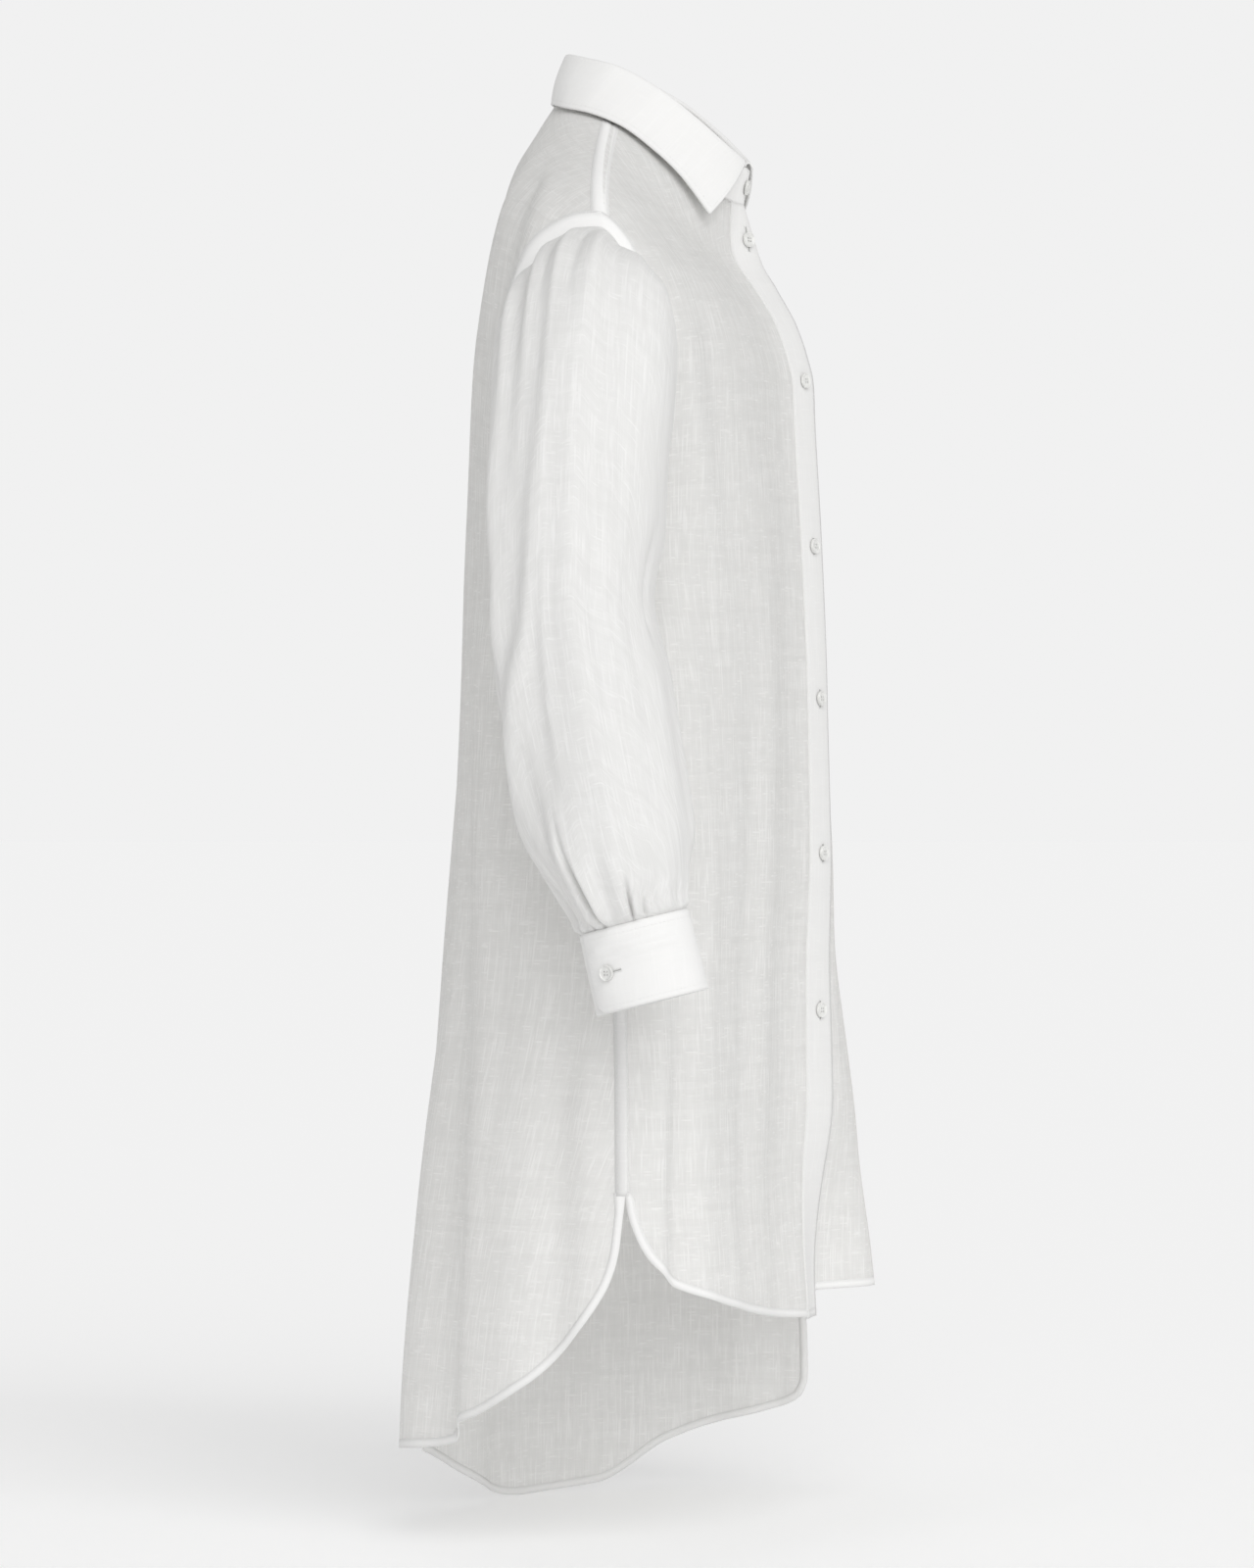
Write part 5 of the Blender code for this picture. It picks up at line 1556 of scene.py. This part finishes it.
def on_cuff(side):
    """The place finder for the buttonhole of a cuff."""
    def place(run, aside):
        turned = CUFF_BUTTON_ANGLE + np.degrees((run + CUFF_HOLE_AHEAD) / CUFF_HALF_FORE)
        normal = cuff_normal(turned, side)
        point = cuff_point(turned, CUFF_BUTTON_DOWN + aside, 0.0, side)
        return point + normal * CUFF_THICK / 2, normal
    return place


for name, side in SIDES:
    buttonhole("cuff_buttonhole_" + name, on_cuff(side), HOLE_LENGTH)
print("all buttonholes:", len(BUTTON_HEIGHTS) + 2)

# %% [markdown]
# ## Buttons
#
# The buttons are small white shirt buttons with a raised rim, a dished middle and four holes,
# sewn on with two bars of thread. One is modelled from a cylinder, as by hand: its top is inset
# and pushed down for the dish, its edges are bevelled, and four small cylinders cut the holes.

# %% Model one button
RIM_STEPS = ((0.0009, 0.0), (0.0004, -0.00055), (0.0010, -0.00012))
BUTTON_ROUNDING = 0.00032


def facing_up(mesh):
    """Select only the flat top of the mesh being edited."""
    editing = bmesh.from_edit_mesh(mesh)
    top = max(face.calc_center_median().z for face in editing.faces)
    for face in editing.faces:
        face.select_set(face.calc_center_median().z > top - 1e-6 and face.normal.z > 0.9)
    bmesh.update_edit_mesh(mesh)


deselect()
bpy.ops.mesh.primitive_cylinder_add(vertices=40, radius=BUTTON_WIDTH / 2, depth=BUTTON_THICK,
                                    location=(0, 0, BUTTON_THICK / 2))
button_model = bpy.context.object
button_model.name = "button_model"
bpy.ops.object.transform_apply(location=True, rotation=True, scale=True)
bpy.ops.object.mode_set(mode="EDIT")
bpy.ops.mesh.select_mode(type="FACE")
facing_up(button_model.data)
for inset, push in RIM_STEPS:
    bpy.ops.mesh.inset(thickness=inset)
    if push:
        bpy.ops.transform.translate(value=(0, 0, push))
bpy.ops.object.mode_set(mode="OBJECT")
rounding = button_model.modifiers.new("rounding", "BEVEL")
rounding.width = BUTTON_ROUNDING
rounding.segments = 3
rounding.angle_limit = math.radians(40)
bpy.ops.object.modifier_apply(modifier=rounding.name)
print("button faces before its holes:", len(button_model.data.polygons))

# %% [markdown]
# The holes are cut with a Boolean, one small cylinder after the other. Each cylinder is deleted
# once its hole is cut. Faces that meet at a sharp angle then keep a crisp edge.

# %% Cut the four holes
HOLE_RADIUS = 0.00060
HOLE_SPREAD = 0.00115
DRILL_DEPTH = 0.008
for across in (-1, 1):
    for up in (-1, 1):
        deselect()
        bpy.ops.mesh.primitive_cylinder_add(vertices=16, radius=HOLE_RADIUS, depth=DRILL_DEPTH,
                                            location=(across * HOLE_SPREAD, up * HOLE_SPREAD, 0))
        drill = bpy.context.object
        bpy.ops.object.transform_apply(location=True, rotation=True, scale=True)
        deselect()
        bpy.context.view_layer.objects.active = button_model
        cut = button_model.modifiers.new("hole", "BOOLEAN")
        cut.operation = "DIFFERENCE"
        cut.solver = "EXACT"
        cut.object = drill
        bpy.ops.object.modifier_apply(modifier=cut.name)
        bpy.data.objects.remove(drill, do_unlink=True)
for face in button_model.data.polygons:
    face.use_smooth = True
button_model.data.set_sharp_from_angle(angle=math.radians(35))
print("button faces with its holes:", len(button_model.data.polygons))

# %% [markdown]
# The button material is a smooth white plastic with the faint cloudy streaks of a pearl button.

# %% Button finish
PEARL_LOW = (0.70, 0.70, 0.68, 1.0)
PEARL_HIGH = (0.84, 0.84, 0.82, 1.0)
pearl, pearl_tree, pearl_surface = material("pearl_white", {"Roughness": 0.28, "Coat Weight": 0.25})
clouds = ramp(pearl_tree, object_noise(pearl_tree, 260.0, 3.0), 0.35, 0.65)
pearl_colour = colour_between(pearl_tree, clouds, PEARL_LOW, PEARL_HIGH)
pearl_tree.links.new(pearl_colour, pearl_surface.inputs["Base Color"])
button_model.data.materials.append(pearl)
print("button finish:", pearl.name)

# %% [markdown]
# Every button is a copy with its own mesh, turned to face out of the cloth where it is sewn.
# Two bars of thread cross its holes.

# %% Sew on the buttons
SEWING_HEIGHT = 0.00165
SEWING_LENGTH = 0.0040
SEWING_RADIUS = 0.00034
BAND_SEAT = 0.0010
CUFF_SEAT = 0.0008
STAND_SHARE = 0.48


def sew_button(name, centre, facing):
    """A copy of the button at a place on the cloth, with its thread."""
    facing = Vector(facing).normalized()
    across = Vector((0.0, 0.0, 1.0)).cross(facing).normalized()
    upright = facing.cross(across)
    turn = Matrix((across, upright, facing)).transposed().to_4x4()
    place = Matrix.Translation(Vector(centre) + facing * BUTTON_LIFT) @ turn
    mesh = button_model.data.copy()
    mesh.name = name
    mesh.transform(place)
    PIECES[name] = in_scene(name, mesh)
    spots = ((0.0, HOLE_SPREAD, SEWING_HEIGHT), (0.0, -HOLE_SPREAD, SEWING_HEIGHT))
    centres = np.array([place @ Vector(spot) for spot in spots])
    thread_beads(name + "_thread", centres, np.array([across, across]),
                 np.array([facing, facing]), SEWING_LENGTH, SEWING_RADIUS)


for index, height in enumerate(BUTTON_HEIGHTS):
    level = np.array(level_at_height(height))
    facing = body_normals(0.0, level)
    sew_button("pearl_button_%d" % (index + 1), body(0.0, level) + facing * BAND_SEAT, facing)
front = np.array([0.0])
base = body(front, np.array([NECK_LEVEL]))[0]
top = roll_point(front)[0] + inward_at(front)[0] * ROLL_RADIUS
facing = unit(np.cross((1.0, 0.0, 0.0), top - base))
facing = facing if facing[1] < 0 else -facing
sew_button("pearl_button_stand", base + (top - base) * STAND_SHARE + facing * CUFF_SEAT, facing)
for name, side in SIDES:
    turn = np.array(CUFF_BUTTON_ANGLE)
    facing = cuff_normal(turn, side)
    centre = cuff_point(turn, np.array(CUFF_BUTTON_DOWN), 0.0, side) + facing * CUFF_SEAT
    sew_button("pearl_cuff_button_" + name, centre, facing)
bpy.data.objects.remove(button_model, do_unlink=True)
print("buttons:", len(BUTTON_HEIGHTS) + 3)

# %% [markdown]
# ## What each piece stands for
#
# Each sheet or button takes the place of the solid that it was made on, and every piece rides on
# the root body. A strip, stitch or buttonhole takes no solid's place.

# %% Tie the pieces to the frame
SOLID_OF = {"gauze_back": "back", "collar_stand_doubled": "collar_stand",
            "collar_fall_doubled": "collar_fall", "pearl_button_stand": "button_stand"}
PAIRS = {"gauze_front_": "front_", "front_band_": "band_", "gauze_sleeve_": "sleeve_",
         "doubled_cuff_": "cuff_", "pearl_cuff_button_": "cuff_button_"}
for piece_name, solid in PAIRS.items():
    for side_name, _ in SIDES:
        SOLID_OF[piece_name + side_name] = solid + side_name
for index in range(len(BUTTON_HEIGHTS)):
    SOLID_OF["pearl_button_%d" % (index + 1)] = "button_%d" % (index + 1)
for name, piece in PIECES.items():
    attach(piece, "root")
    if name in SOLID_OF:
        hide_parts(SOLID_OF[name])
    elif "cuff" in name:
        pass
    elif "collar" in name:
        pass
    else:
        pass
print("solids replaced:", len(SOLID_OF))

# %% [markdown]
# ## The cut of each piece
#
# Each cloth piece is measured along its own yarns: the widest and the longest run of its weave
# map.

SHEETS = {
    "gauze_back": ("hung", ["collar_stand"], ["hem_back"]),
    "gauze_front_right": ("hung", ["back"], ["hem_right_front"]),
    "gauze_front_left": ("hung", ["back"], ["hem_left_front"]),
    "gauze_sleeve_right": ("gathered", ["back", "front_right"], ["armhole_seam_right"]),
    "gauze_sleeve_left": ("gathered", ["back", "front_left"], ["armhole_seam_left"]),
    "front_band_right": ("hung", ["front_right"], []),
    "front_band_left": ("hung", ["front_left"], []),
    "doubled_cuff_right": ("folded", ["sleeve_right"], []),
    "doubled_cuff_left": ("folded", ["sleeve_left"], []),
    "collar_stand_doubled": ("folded", ["back"], []),
    "collar_fall_doubled": ("folded", ["collar_stand"], []),
}
for name, (held, rests_on, others) in SHEETS.items():
    mesh = PIECES[name].data
    weave = np.zeros(len(mesh.loops) * 2)
    mesh.uv_layers["weave"].data.foreach_get("uv", weave)
    weave = weave.reshape(-1, 2)
    width, length = weave.max(axis=0) - weave.min(axis=0)

# %% [markdown]
# ## Triangles
#
# The number of triangles over all the pieces is printed.

# %% Count the triangles
print("triangles:", sum(len(piece.data.loop_triangles) for piece in PIECES.values()))
